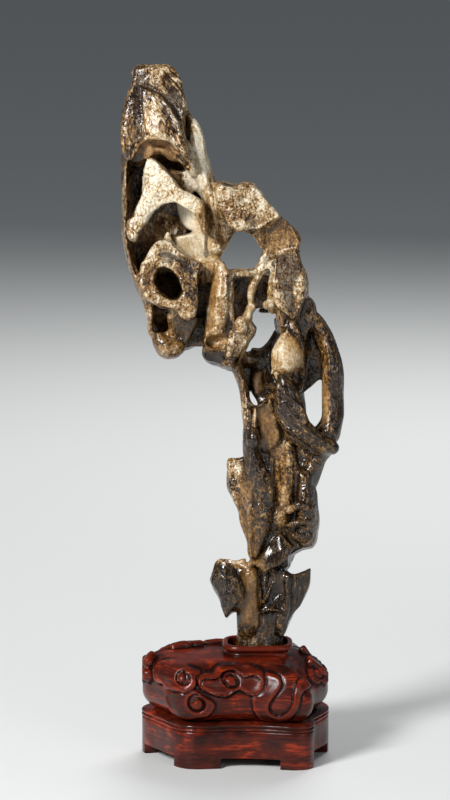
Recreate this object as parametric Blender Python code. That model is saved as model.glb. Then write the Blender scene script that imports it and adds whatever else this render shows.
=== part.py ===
"""Upright scholar's rock on a carved two-piece hardwood stand.

Metres, +Z up, the front faces -Y. The origin is the middle of the bounding box at
the height of the feet. Shapes are listed in millimetres and scaled by MM.
"""

import math

import bmesh
import bpy
from mathutils import Vector

MM = 0.001

# Driving dimensions of the stand, in millimetres.
PLINTH_HEIGHT = 36.0
FOOT_HEIGHT = 8.0
APRON_THICKNESS = 10.0
RECESS_HEIGHT = 14.0
BODY_TOP = 84.0
BODY_MIDDLE = (12.0, 0.0)
COLLAR_TOP = 91.0
COLLAR_CENTRE = (20.5, -2.0)
COLLAR_HALF = (28.0, 23.0)
SOCKET_FLOOR = 76.0
SOCKET_HALF = (23.8, 18.8)
# The stone's foot rests this far above the socket's floor.
SEAT_GAP = 0.3
# How far a cutter stands out of what it cuts.
CUTTER_REACH = 5.0

# The stone's skin: grain of the two fusings, lumps of its weathering, and share of faces kept.
ROCK_VOXEL = 2.2
WEAR_REPEATS = 2
LUMP_SIZE = 16.0
LUMP_HEIGHT = 4.0
ROCK_RATIO = 0.0565
BODY_RATIO = 0.09

# Fineness of curves and rings.
LIMB_SIDES = 14
LIMB_STEPS = 3
SLAB_STEPS = 2
PLAN_STEPS = 2
BODY_PLAN_STEPS = 6
BODY_RING_STEPS = 3
OVAL_SIDES = 40

# A limb's end is rounded by rings at these angles from its last station, in radians.
CAP_ANGLES = (0.4, 0.8, 1.25)
# A slab's edge is rounded by rings: share of the edge in depth, and share moved inwards.
EDGE_RINGS = ((0.0, 1.0), (0.3, 0.3), (1.0, 0.0))
# The higher this power, the steeper the sides of a carved band.
BAND_POWER = 6

# Heights of rings of the collar, and how far each lies outside COLLAR_HALF.
COLLAR_SECTION = [
    (70.0, -3.0), (86.0, -3.0), (88.0, 0.0), (COLLAR_TOP - 0.6, 0.0), (COLLAR_TOP, -0.8),
]

# Heights of rings of the plinth, and how far each lies inside its plan. The last six are the beads.
PLINTH_SECTION = [
    (0.0, 0.6), (29.4, 0.6), (30.2, -0.4), (31.9, -0.4), (32.7, 0.8), (33.5, 0.2), (35.2, 0.2),
    (PLINTH_HEIGHT, 1.6),
]

# Limbs of the rock. A station is x, y, z, half width and half depth of the stone there.
LIMBS = {
    "left_shell": [
        (-80, 2, 500, 5, 22), (-82.5, 2, 470, 5, 27), (-82, 2, 440, 4.6, 28), (-80, 2, 410, 4.5, 27),
        (-75, 0, 385, 5, 24), (-67, -4, 362, 6, 20),
    ],
    "shell_bump": [(-84, -6, 464, 4, 8), (-84, -4, 458, 4, 8)],
    "brow": [(-72, -20, 494, 6, 9), (-58, -30, 497, 8, 8), (-45, -26, 490, 7, 9), (-34, -12, 474, 5, 9)],
    "strand": [
        (-31, -4, 502, 4, 10), (-29, -4, 486, 6.5, 14), (-22.5, -4, 464, 6.5, 15),
        (-16.5, -6, 440, 6.5, 16),
        (-14, -8, 420, 7, 17), (-16, -8, 400, 9, 18),
    ],
    "lower_bulb": [
        (-66, -8, 366, 6, 14), (-62, -10, 346, 4.5, 13), (-55, -8, 327, 8.5, 15),
        (-47, -6, 325, 7, 14),
    ],
    "central_lobe": [
        (-7, -12, 386, 6, 16), (-10, -20, 362, 8, 14), (-11, -22, 338, 10, 14), (-10, -18, 324, 10.5, 13),
    ],
    "bridge": [
        (-6, -12, 382, 6, 10), (8, -15, 385, 4, 10), (22, -15, 387, 4.5, 10), (34, -12, 395, 7, 11),
    ],
    "strut_left": [(-3, -14, 384, 4, 12), (-2.5, -14, 362, 4, 12), (0, -14, 346, 5, 12)],
    "strut_middle": [(13, -15, 384, 4.4, 7), (15, -15, 366, 3.4, 6), (15, -15, 350, 4.5, 8)],
    "strut_right": [(33, -14, 390, 6, 9), (30, -14, 370, 3.6, 9), (27, -12, 356, 4, 9)],
    "web_behind": [(-4, 14, 396, 6, 8), (14, 20, 378, 8, 8), (34, 20, 376, 10, 9), (46, 14, 372, 8, 10)],
    "hole_rim": [(2, 2, 322, 4, 16), (14, 6, 320.5, 4.5, 16), (28, 4, 319, 6, 16)],
    "outer_loop": [
        (52, 2, 350, 8, 13), (66, 2, 347, 7, 14), (76, 0, 336, 7, 15), (81, -2, 318, 6.5, 15),
        (81.5, -2, 294, 6, 14), (79.5, -4, 272, 7, 14), (75, -8, 256, 8, 14),
    ],
    "diagonal": [
        (39, -22, 298, 8, 11), (42, -27, 284, 11, 12), (49, -29, 268, 11.5, 12), (60, -26, 253, 10.5, 12),
        (73, -16, 248, 9.5, 14),
    ],
    "tail": [(73, -8, 247, 9, 15), (66, -6, 236, 8, 15), (60, -4, 222, 9, 16)],
    "stem_core": [
        (26, 12, 322, 12, 12), (26, 12, 300, 13, 13), (30, 8, 276, 17, 18), (34, 6, 250, 20, 20),
        (36, 4, 222, 21, 20), (34, 4, 196, 17, 19), (30, 2, 172, 13, 17), (26, 2, 150, 15, 16),
        (24, 0, 126, 17, 15), (22.5, -1, 104, 18.5, 15), (22, -2, 72, 20, 16),
    ],
    "stem_left_ridge": [
        (4, -2, 312, 4, 12), (10, -10, 292, 4, 10), (15, -16, 274, 5, 10), (15.5, -17, 250, 5.5, 10),
        (18, -17, 226, 6, 9), (20, -14, 200, 5, 9), (17, -12, 178, 5, 9), (15, -12, 158, 5, 9),
    ],
    "stem_panel": [
        (26, -14, 278, 5, 9), (30, -19, 262, 6.5, 8), (28, -18, 242, 5, 8), (27, -16, 218, 4, 8),
    ],
    "stem_right_column": [
        (46, -14, 246, 6, 11), (43, -18, 222, 7, 11), (43, -18, 200, 7, 10), (40, -14, 178, 6, 10),
    ],
    "right_lump": [
        (58, -4, 220, 7, 17), (59, -8, 202, 9, 18), (59, -8, 184, 9.5, 17), (54, -6, 173, 7, 15),
    ],
    "stem_back": [(30, 22, 290, 12, 8), (36, 26, 252, 14, 8), (40, 24, 210, 14, 8), (30, 18, 168, 12, 8)],
    "flake": [
        (5, -6, 234, 4.5, 7), (1.5, -8, 220, 5, 8), (4.5, -10, 205, 4.5, 7), (9, -10, 190, 4.5, 7),
        (13, -10, 168, 4.5, 8),
    ],
    "foot_shaft": [(15, -12, 152, 6, 7), (16, -13.5, 126, 6, 7), (15, -10, 100, 7.5, 6)],
    "foot_ledges": [(34, -8, 146, 8, 9), (34, -12, 122, 9, 8), (31, -8, 100, 9, 7)],
    "tongue_tip": [(-79, -34, 419, 4.5, 7), (-82, -16, 428, 5, 12)],
    "head_back_knob": [(-68, 26, 530, 8, 9), (-62, 34, 512, 10, 8), (-48, 32, 492, 8, 8)],
    "back_rib_left": [
        (-60, 34, 516, 7, 7), (-73, 36, 482, 6, 8), (-70, 42, 448, 6.5, 7), (-56, 42, 420, 6.5, 7),
        (-66, 38, 392, 7, 8), (-52, 34, 366, 8, 8), (-44, 26, 342, 7, 8),
    ],
    "back_rib_right": [
        (-34, 30, 500, 6, 8), (-28, 38, 470, 6.5, 8), (-40, 44, 444, 6, 7), (-30, 42, 414, 7, 8),
        (-34, 38, 388, 8, 8), (-16, 32, 366, 8, 9), (-8, 24, 340, 8, 9), (0, 20, 322, 7, 8),
    ],
    "arch_rib": [
        (-12, 26, 432, 8, 9), (8, 24, 446, 8, 8), (30, 26, 430, 8, 9), (46, 24, 402, 8, 9),
        (38, 30, 374, 8, 8),
        (24, 26, 350, 5, 6), (36, 26, 326, 8, 9), (50, 22, 306, 8, 8),
    ],
    "stem_rib_left": [
        (14, 20, 316, 8, 8), (22, 28, 288, 6, 7), (20, 26, 262, 6, 8), (30, 29, 236, 7, 8),
        (24, 24, 204, 6, 8),
        (32, 22, 174, 7, 8), (24, 17, 146, 7, 7),
    ],
    "stem_rib_right": [
        (50, 20, 300, 8, 8), (52, 26, 266, 7, 8), (44, 29, 236, 7, 8), (56, 22, 206, 7, 9),
        (50, 20, 180, 8, 8),
        (38, 18, 152, 7, 8),
    ],
}

# Slabs of the rock. An outline of x, z points is swept from front to back in y, with edges
# rounded by edge, and leans by lean[0] along x and lean[1] along z, as depth per length.
PLATES = {
    "head": {
        "outline": [
            (-76, 549), (-80, 539), (-84.5, 518), (-85.5, 488), (-72, 482), (-50, 488), (-36, 474),
            (-31, 480), (-30, 500), (-35.5, 520), (-40, 534), (-46, 543.5), (-60, 548),
        ],
        "front": -24, "back": 28, "lean": (0.05, 0.12), "edge": 9,
    },
    "head_facet": {
        "outline": [
            (-72, 535), (-60, 525), (-50, 517), (-42, 507), (-37, 496), (-35, 482), (-46, 488),
            (-58, 494),
            (-70, 490), (-71, 510),
        ],
        "front": -34, "back": -16, "lean": (0.05, 0.3), "edge": 4,
    },
    "left_back_wall": {
        "outline": [
            (-60, 530), (-84, 500), (-87, 462), (-86, 430), (-85, 410), (-80, 388), (-71, 368),
            (-66, 350),
            (-58, 330), (-46, 323), (-28, 327), (-18, 340), (-10, 386), (-6, 400), (-10, 428), (-14, 456),
            (-21, 480), (-27, 500), (-40, 520),
        ],
        "front": 12, "back": 32, "lean": (0.0, 0.1), "edge": 8,
    },
    "tongue": {
        "outline": [
            (-64, 476), (-70, 466), (-72, 448), (-78, 434), (-84, 424), (-82, 415), (-77, 411),
            (-73, 418),
            (-66, 427), (-55, 438), (-43, 440), (-32, 432), (-26, 427), (-20, 421), (-19, 436),
            (-33, 449),
            (-42, 453), (-52, 466),
        ],
        "front": -40, "back": -20, "lean": (0.12, 0.25), "edge": 4,
    },
    "tongue_root": {
        "outline": [
            (-70, 468), (-60, 478), (-46, 462), (-30, 450), (-18, 438), (-22, 424), (-34, 434),
            (-56, 442),
        ],
        "front": -28, "back": 10, "lean": (0.1, 0.2), "edge": 5,
    },
    "mask": {
        "outline": [
            (-50, 414), (-62, 410), (-67, 400), (-71, 386), (-73, 376), (-69, 366), (-60, 360),
            (-46, 356),
            (-35, 349), (-27, 358), (-25, 376), (-24, 393), (-32, 399), (-42, 409),
        ],
        "front": -42, "back": -16, "lean": (0.05, 0.1), "edge": 6,
    },
    "mask_root": {
        "outline": [
            (-68, 372), (-72, 384), (-66, 404), (-50, 410), (-30, 402), (-14, 410), (-12, 384),
            (-26, 372), (-34, 352), (-54, 360),
        ],
        "front": -20, "back": 14, "lean": (0.0, 0.0), "edge": 5,
    },
    "bulb_web": {
        "outline": [
            (-60, 336), (-52, 318), (-40, 320), (-36, 326), (-18, 330), (-16, 350), (-36, 350),
            (-50, 340),
        ],
        "front": -6, "back": 18, "lean": (0.0, 0.0), "edge": 5,
    },
    "central_slab": {
        "outline": [
            (-12, 388), (-19, 372), (-21, 352), (-22, 332), (-23, 318), (-14, 312), (-2, 313), (2, 330),
            (2, 350), (-1, 376), (-2, 388),
        ],
        "front": -30, "back": 12, "lean": (0.15, 0.05), "edge": 7,
    },
    "slot_back": {
        "outline": [
            (-10, 394), (12, 387), (38, 392), (42, 356), (30, 357), (16, 357), (2, 344), (-10, 346),
        ],
        "front": 8, "back": 22, "lean": (0.0, 0.0), "edge": 5,
    },
    "loop_web": {
        "outline": [
            (54, 294), (56, 346), (68, 352), (80, 334), (80, 310), (74, 294), (67, 300), (60, 295),
        ],
        "front": 4, "back": 16, "lean": (-0.1, 0.0), "edge": 4,
    },
    "flake_web": {
        "outline": [(14, 238), (5, 237), (-2, 228), (-2, 212), (5, 196), (8, 178), (14, 170), (18, 200)],
        "front": -4, "back": 8, "lean": (-0.3, 0.0), "edge": 4,
    },
    "golden_lobe": {
        "outline": [
            (0, 349), (10, 353), (19, 342), (15, 334), (8, 327), (3, 315), (-5, 312), (-10, 320),
            (-8, 345),
        ],
        "front": -26, "back": 8, "lean": (0.1, 0.1), "edge": 6,
    },
    "arch": {
        "outline": [
            (-14, 452), (-6, 457.5), (16, 456.5), (25, 449), (36, 433.5), (50, 421), (53.5, 411),
            (52, 402),
            (58.5, 380), (58.5, 360), (46, 350), (32, 352), (30, 380), (18, 388), (23, 402), (19, 411),
            (12, 418.5), (3, 420), (-6, 406), (-14, 402), (-20, 420),
        ],
        "front": -18, "back": 20, "lean": (0.0, -0.05), "edge": 9,
    },
    "arch_front": {
        "outline": [
            (-12, 455), (4, 455), (18, 455), (27, 446), (38, 431), (28, 424), (20, 421), (0, 422),
            (-10, 430),
        ],
        "front": -26, "back": -8, "lean": (0.1, -0.1), "edge": 6,
    },
    "right_lobe": {
        "outline": [
            (28, 394), (38, 402), (50, 406), (53.5, 397), (58.5, 380), (57, 358), (48, 346), (37, 352),
            (29, 360), (32, 376),
        ],
        "front": -27, "back": 10, "lean": (0.1, 0.1), "edge": 7,
    },
    "right_mass": {
        "outline": [
            (32, 356), (58, 366), (66, 356), (60, 330), (60, 300), (56, 292), (40, 292), (26, 310),
            (27, 326),
            (34, 343),
        ],
        "front": -12, "back": 20, "lean": (0.0, 0.0), "edge": 7,
    },
    "knee": {
        "outline": [
            (28, 324), (36, 334), (46, 327), (56, 318), (58, 309), (48, 305), (33, 307), (27, 314),
        ],
        "front": -28, "back": -6, "lean": (0.1, 0.3), "edge": 7,
    },
    "stem": {
        "outline": [
            (2, 316), (8, 298), (10, 270), (10, 245), (13, 225), (14, 200), (13, 180), (13, 158),
            (30, 148),
            (45, 150), (48, 162), (66, 168), (69, 182), (67, 205), (65, 218), (70, 232), (60, 262),
            (54, 290),
            (28, 290), (22, 280), (12, 290),
        ],
        "front": -12, "back": 18, "lean": (0.0, 0.0), "edge": 8,
    },
    "stem_cavern_back": {
        "outline": [(2, 316), (8, 296), (12, 288), (22, 281), (32, 290), (44, 300), (40, 322), (14, 322)],
        "front": 8, "back": 26, "lean": (0.0, 0.0), "edge": 6,
    },
    "spike_left": {
        "outline": [
            (16, 156), (6, 156), (-4, 160), (-10, 159), (-16, 149), (-18.5, 139), (-12, 127), (-7, 115),
            (-4, 109), (3, 114), (8, 124), (14, 130),
        ],
        "front": -24, "back": 2, "lean": (-0.25, 0.1), "edge": 6,
    },
    "spike_right": {
        "outline": [
            (38, 154), (47, 146.5), (55, 147), (62.5, 150), (64, 144), (62, 131), (54, 116), (46, 102),
            (38, 96),
            (34, 110), (32, 135),
        ],
        "front": -15, "back": 9, "lean": (0.2, 0.0), "edge": 6,
    },
    "chevron": {
        "outline": [
            (38, 183), (50, 170), (48, 162), (36, 158), (20, 154), (15, 160), (24, 168), (32, 178),
        ],
        "front": -22, "back": -4, "lean": (0.0, 0.3), "edge": 4,
    },
}

# Hollows and holes. The same kinds of shape, taken away.
HOLLOW_LIMBS = {
    "cavern_under_brow": [(-62, -34, 472, 12, 10), (-54, -16, 472, 20, 11), (-50, 4, 470, 22, 11)],
    "cavern_left": [(-74, -36, 404, 6, 9), (-70, -18, 408, 9, 13), (-60, 0, 408, 14, 13)],
    "hole_under_tongue": [(-42, -40, 425, 12, 9), (-44, -16, 425, 15, 10), (-50, 2, 422, 18, 12)],
    "scoop_right": [(-33, -36, 409, 8, 6), (-32, -20, 410, 8, 7)],
    "mask_inside": [(-52, -12, 377, 14, 14), (-52, 2, 376, 12, 12)],
    "gap_under_mask": [(-31, -28, 351, 5, 6), (-30, -14, 346, 7, 9)],
    "slot_beside_mask": [(-22.5, -34, 402, 2.5, 8), (-22.5, -24, 376, 3, 10), (-23, -22, 350, 3.5, 10)],
    "lower_left_hole": [(-57, -40, 349, 6.5, 7), (-57, 6, 349, 6, 7)],
    "head_slot": [(-36, -30, 513, 2.2, 10), (-35, -24, 494, 2.2, 10)],
    "stem_cavern": [(16, -24, 306, 8, 8), (17, -10, 304, 9, 11), (20, -10, 291, 6, 8)],
    "lobe_pit": [(-12, -38, 333, 7, 4), (-10, -28, 332, 7, 6)],
    "knee_hole": [(52.5, -36, 303, 5, 5), (51, -12, 304, 5, 5)],
    "loop_hollow": [(66, -16, 310, 5.5, 8), (64, -8, 328, 5.5, 10)],
    "stem_channel": [(35, -32, 262, 2.4, 8), (34.5, -30, 235, 3.2, 9), (33, -28, 205, 2.4, 8)],
    "flake_gap": [(9, -18, 228, 2.2, 6), (9.5, -18, 210, 2.2, 6)],
    "strand_groove": [(-31, -24, 478, 1.6, 8), (-26, -26, 450, 1.8, 8), (-20, -28, 424, 1.6, 8)],
    "back_head": [(-48, 48, 516, 7, 8), (-52, 40, 500, 6, 6)],
    "back_high": [(-50, 50, 468, 10, 14), (-52, 38, 464, 9, 12)],
    "back_middle": [(-48, 50, 398, 7, 9), (-46, 38, 400, 7, 9)],
    "back_side": [(-18, 42, 404, 6, 10), (-16, 30, 404, 6, 9)],
    "back_low": [(-34, 46, 358, 7, 8), (-32, 34, 356, 7, 8)],
    "back_arch": [(24, 44, 404, 8, 10), (26, 28, 404, 7, 9)],
    "back_arch_low": [(54, 40, 350, 6, 12), (52, 26, 348, 5, 10)],
    "back_stem_high": [(36, 46, 280, 7, 13), (36, 30, 276, 6, 10)],
    "back_stem_middle": [(38, 46, 206, 6, 14), (38, 30, 206, 5, 11)],
    "back_stem_side": [(14, 36, 236, 5, 10), (14, 26, 232, 4, 8)],
    "back_foot": [(14, 26, 190, 5, 10), (12, 20, 172, 5, 8)],
    "back_ankle": [(30, 25, 130, 5, 9), (28, 21, 116, 5, 7)],
}

HOLLOW_PLATES = {
    "eye": {
        "outline": [(-57, 390), (-48, 388), (-41, 380), (-38, 370), (-45, 363), (-56, 370), (-61, 382)],
        "front": -60, "back": -8, "lean": (0, 0), "edge": 1,
    },
    "arch_hole": {
        "outline": [
            (4, 420), (12, 418), (20, 410), (22.5, 402), (20, 392), (12, 389), (0, 387), (-6, 389),
            (-8.5, 398), (-5, 407), (1, 414),
        ],
        "front": -60, "back": 60, "lean": (0, 0), "edge": 1,
    },
    "slot_left": {
        "outline": [(2, 376), (8, 379), (9, 366), (11, 357), (7, 353), (2, 349), (1, 362)],
        "front": -60, "back": 0, "lean": (0, 0), "edge": 1,
    },
    "slot_right": {
        "outline": [(20, 373), (26, 378), (27, 370), (24, 358), (19, 354), (18.5, 364)],
        "front": -60, "back": 2, "lean": (0, 0), "edge": 1,
    },
    "second_hole": {
        "outline": [
            (17.5, 353.5), (28, 354), (34, 344), (31, 336), (26, 327.5), (20, 326), (13.5, 330),
            (18, 337),
            (19.5, 344),
        ],
        "front": -60, "back": 60, "lean": (0, 0), "edge": 1,
    },
    "loop_hole": {
        "outline": [(65, 298), (70.5, 292), (71, 280), (66.5, 269), (61, 269), (57, 282), (59, 293)],
        "front": -60, "back": 60, "lean": (0, 0), "edge": 1,
    },
    "slit": {
        "outline": [(13, 287), (16, 289), (21, 282), (19, 279.5), (15, 283)],
        "front": -60, "back": 60, "lean": (0, 0), "edge": 1,
    },
}

# What is cut off the foot of the stone to seat it: its plan, and how deep it goes.
ROCK_BED = [(-20, -40), (64, -40), (64, 40), (-20, 40)]
ROCK_BED_DEPTH = 56.0

# Plan of the plinth, x and y, anticlockwise from the middle of the front.
PLAN = [
    (6, -57), (24, -59), (38, -62.5), (50, -64.5), (60, -61.5), (65, -53), (64.5, -42), (66, -31),
    (71, -20), (76, -8), (78, 4), (76.5, 16), (71, 28), (66, 38), (64, 48), (58, 58), (47, 63),
    (34, 61.5), (18, 58), (0, 57), (-16, 59.5), (-30, 61.5), (-40, 58), (-47, 49), (-54, 37),
    (-62, 24), (-70, 12), (-72.5, 1), (-69.5, -10), (-62, -23), (-54, -37), (-47, -49), (-40, -57),
    (-30, -61), (-16, -60), (-5, -58),
]

# Openings between the feet, in plan.
BAYS = {
    "front": [(-9, -90), (38, -90), (38, -30), (-9, -30)],
    "left_front": [(-47, -75), (-46, -50), (-40, -34), (-52, -4), (-70, -8), (-100, -8)],
    "right_front": [(70, -80), (100, -60), (100, -4), (75, -4), (56, -4), (50, -40), (64, -44)],
    "back": [(38, 90), (-9, 90), (-9, 30), (38, 30)],
    "left_back": [(-100, 14), (-70, 14), (-52, 8), (-38, 34), (-46, 50), (-47, 75)],
    "right_back": [(64, 46), (50, 40), (56, 14), (74, 14), (100, 14), (100, 60), (70, 80)],
}

# The body's rings: height, how far the outline is inside the plinth's plan, and how far the
# ring is shifted to the left.
BODY_PROFILE = [
    (36.3, 11.0, 0.0), (38.0, 8.4, 0.0), (40.5, 5.6, 0.0), (44.0, 2.8, 0.0), (48.0, 1.3, 0.0),
    (52.0, 1.0, 0.0), (57.0, 1.4, 0.2), (62.0, 2.3, 1.2), (67.0, 3.8, 2.8), (71.0, 5.4, 4.0),
    (75.0, 8.0, 5.0), (78.0, 11.4, 5.6), (80.5, 16.0, 6.0), (82.2, 23.0, 6.0), (83.2, 32.0, 5.0),
    (BODY_TOP, 43.0, 2.0),
]

# Carved scrolls of the body: a raised band along points of (distance round the plan from the middle
# of the front, height), with the band's half width and its relief.
SCROLLS = {
    "left_cloud": ([(-54, 73), (-46, 66), (-38, 70), (-30, 70)], 8, 3.4),
    "left_eye": ([(-38, 72), (-37.5, 72.5)], 6, 5.6),
    "lower_leaf": ([(-47, 56), (-42, 48), (-31, 43)], 5, 2.8),
    "lower_eye": ([(-28, 50), (-20, 48)], 7, 3.4),
    "lower_bud": ([(-28, 51), (-27.5, 51.5)], 5, 5.2),
    "centre_cloud": ([(-21, 68), (-6, 72), (8, 69), (17, 65)], 8, 3.4),
    "centre_eye": ([(-1, 70), (-0.5, 70.5)], 6, 5.6),
    "ribbon": (
        [(22, 73), (33, 71), (36, 62), (24, 50), (26, 40), (38, 37), (46, 44), (49, 58), (56, 68)], 4.5, 3.2,
    ),
    "ribbon_end": ([(62, 62), (63, 50), (60, 42)], 4, 3.0),
    "right_flower": ([(82, 74), (86, 64), (90, 74)], 6, 3.6),
    "left_shoulder": ([(-66, 78), (-72, 68), (-80, 78)], 6, 3.6),
}


def catmull_rom(points, steps, closed=False):
    """Smooth curve through the points, with steps samples for each span."""
    rows = [Vector(point) for point in points]
    count = len(rows)
    curve = []
    for i in range(count if closed else count - 1):
        if closed:
            a, b, c, d = (rows[(i + k) % count] for k in (-1, 0, 1, 2))
        else:
            b, c = rows[i], rows[i + 1]
            a = rows[i - 1] if i > 0 else 2 * b - c
            d = rows[i + 2] if i + 2 < count else 2 * c - b
        for step in range(steps):
            t = step / steps
            bend = (2 * a - 5 * b + 4 * c - d) * t ** 2 + (3 * b - a - 3 * c + d) * t ** 3
            curve.append(0.5 * (2 * b + (c - a) * t + bend))
    if not closed:
        curve.append(rows[-1])
    return curve


def skin_rings(bm, rings):
    """A closed skin through rings of as many points each, in millimetres."""
    loops = [[bm.verts.new(Vector(point) * MM) for point in ring] for ring in rings]
    count = len(loops[0])
    for first, second in zip(loops, loops[1:]):
        for i in range(count):
            j = (i + 1) % count
            bm.faces.new((first[i], first[j], second[j], second[i]))
    bm.faces.new(reversed(loops[0]))
    bm.faces.new(loops[-1])


def oval(centre, across, up):
    """Points of an oval round the centre, whose half axes are the vectors across and up."""
    turns = [2 * math.pi * side / LIMB_SIDES for side in range(LIMB_SIDES)]
    return [centre + across * math.cos(turn) + up * math.sin(turn) for turn in turns]


def add_limb(bm, stations):
    """A closed tube with oval sections and rounded ends along the stations."""
    rows = [Vector(station) for station in stations]
    if len(rows) > 2:
        rows = catmull_rom(rows, LIMB_STEPS)
    places = [Vector(row[:3]) for row in rows]
    halves = [(row[3], row[4]) for row in rows]
    rings = []
    last = len(places) - 1
    for i, place in enumerate(places):
        along = (places[min(i + 1, last)] - places[max(i - 1, 0)]).normalized()
        depth = Vector((0, 1, 0)) if abs(along.y) < 0.85 else Vector((0, 0, 1))
        depth = (depth - along * depth.dot(along)).normalized()
        wide = along.cross(depth)
        angles = [0.0]
        if i == 0:
            angles = [-angle for angle in reversed(CAP_ANGLES)] + angles
        elif i == last:
            angles = angles + list(CAP_ANGLES)
        half_wide, half_deep = halves[i]
        for angle in angles:
            shrink = math.cos(angle)
            centre = place + along * (math.sin(angle) * min(half_wide, half_deep))
            rings.append(oval(centre, wide * half_wide * shrink, depth * half_deep * shrink))
    skin_rings(bm, rings)


def inset(curve, distance):
    """The closed curve moved inwards, whichever way round it runs."""
    count = len(curve)
    area = sum(curve[i].cross(curve[(i + 1) % count]) for i in range(count))
    sign = 1 if area > 0 else -1
    moved = []
    for i, point in enumerate(curve):
        along = curve[(i + 1) % count] - curve[i - 1]
        inwards = Vector((-along.y, along.x)).normalized() * sign
        moved.append(point + inwards * distance)
    return moved


def add_plate(bm, outline, front, back, lean, edge):
    """A closed slab: the smoothed outline in x and z, swept along y, with rounded edges."""
    curve = catmull_rom(outline, SLAB_STEPS, closed=True)
    middle = sum(curve, Vector((0, 0))) / len(curve)
    depths = [(front + share * edge, moved * edge) for share, moved in EDGE_RINGS]
    depths += [(back - share * edge, moved * edge) for share, moved in reversed(EDGE_RINGS)]
    rings = []
    for depth, moved in depths:
        ring = []
        for point in inset(curve, moved):
            leaning = lean[0] * (point.x - middle.x) + lean[1] * (point.y - middle.y)
            ring.append((point.x, depth + leaning, point.y))
        rings.append(ring)
    skin_rings(bm, rings)


def add_prism(bm, outline, low, high):
    """A closed upright prism over an outline in x and y."""
    skin_rings(bm, [[(point[0], point[1], height) for point in outline] for height in (low, high)])


def new_object(name, bm, material=None):
    """Puts the bmesh in the scene as an object, with its faces turned outwards."""
    bmesh.ops.recalc_face_normals(bm, faces=bm.faces)
    mesh = bpy.data.meshes.new(name)
    bm.to_mesh(mesh)
    bm.free()
    obj = bpy.data.objects.new(name, mesh)
    bpy.context.scene.collection.objects.link(obj)
    if material:
        mesh.materials.append(material)
        mesh.shade_smooth()
    return obj


def as_cutter(obj):
    """Keeps a helper out of the model."""
    obj.hide_render = True
    obj.display_type = "WIRE"
    return obj


def principled(name, colour, roughness):
    """A plain Principled material."""
    material = bpy.data.materials.new(name)
    material.use_nodes = True
    shader = material.node_tree.nodes["Principled BSDF"]
    shader.inputs["Base Color"].default_value = (*colour, 1)
    shader.inputs["Roughness"].default_value = roughness
    return material


def add_boolean(obj, cutter, operation="DIFFERENCE"):
    """Cuts the cutter from the object, or joins it on."""
    modifier = obj.modifiers.new(operation.title(), "BOOLEAN")
    modifier.operation = operation
    modifier.object = cutter
    modifier.solver = "EXACT"


def add_fusing(obj):
    """Fuses what overlaps into one skin."""
    modifier = obj.modifiers.new("Fuse", "REMESH")
    modifier.mode = "VOXEL"
    modifier.voxel_size = ROCK_VOXEL * MM


def add_thinning(obj, share):
    """Keeps this share of the object's faces."""
    modifier = obj.modifiers.new("Facets", "DECIMATE")
    modifier.ratio = share


def add_wear(obj):
    """Softens the edges and raises low lumps, as weather does."""
    soften = obj.modifiers.new("Weather", "SMOOTH")
    soften.factor = 0.5
    soften.iterations = WEAR_REPEATS
    lumps = bpy.data.textures.new("lumps", "CLOUDS")
    lumps.noise_scale = LUMP_SIZE * MM
    lumps.noise_depth = 2
    raised = obj.modifiers.new("Lumps", "DISPLACE")
    raised.texture = lumps
    raised.texture_coords = "LOCAL"
    raised.strength = LUMP_HEIGHT * MM
    raised.mid_level = 0.5


def stone_mesh(limbs, plates):
    """Limbs and slabs in one mesh, still overlapping."""
    bm = bmesh.new()
    for stations in limbs.values():
        add_limb(bm, stations)
    for plate in plates.values():
        add_plate(bm, **plate)
    return bm


def make_rock(material):
    """The stone: limbs and slabs fused into one, hollowed out, worn and cut flat below."""
    rock = new_object("rock", stone_mesh(LIMBS, PLATES), material)
    hollows = as_cutter(new_object("rock_hollows", stone_mesh(HOLLOW_LIMBS, HOLLOW_PLATES)))
    add_fusing(hollows)

    bm = bmesh.new()
    add_prism(bm, ROCK_BED, SOCKET_FLOOR - ROCK_BED_DEPTH, SOCKET_FLOOR + SEAT_GAP)
    bed = as_cutter(new_object("rock_bed", bm))

    add_fusing(rock)
    add_boolean(rock, hollows)
    add_fusing(rock)
    add_wear(rock)
    add_thinning(rock, ROCK_RATIO)
    add_boolean(rock, bed)


def plan_curve():
    """The plinth's outline as points with their distance round from the middle of the front."""
    curve = catmull_rom(PLAN, BODY_PLAN_STEPS, closed=True)
    distances = [PLAN[0][0]]
    for first, second in zip(curve, curve[1:]):
        distances.append(distances[-1] + (second - first).length)
    around = distances[-1] + (curve[0] - curve[-1]).length - PLAN[0][0]
    return curve, distances, around


def scroll_relief(distance, height, around):
    """How far the carving stands out there. The back has the front's pattern, turned half round."""
    relief = 0.0
    half = around / 2
    distance = (distance + half / 2) % half - half / 2
    for path, reach, rise in SCROLLS.values():
        points = [Vector(point) for point in path]
        spot = Vector((distance, height))
        nearest = min(segment_distance(spot, a, b) for a, b in zip(points, points[1:]))
        near = max(0.0, 1.0 - (nearest / reach) ** BAND_POWER)
        relief = max(relief, rise * near)
    return relief


def segment_distance(spot, start, end):
    """How far the spot is from the straight line between start and end."""
    along = end - start
    share = max(0.0, min(1.0, (spot - start).dot(along) / along.length_squared))
    return (spot - start - along * share).length


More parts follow.
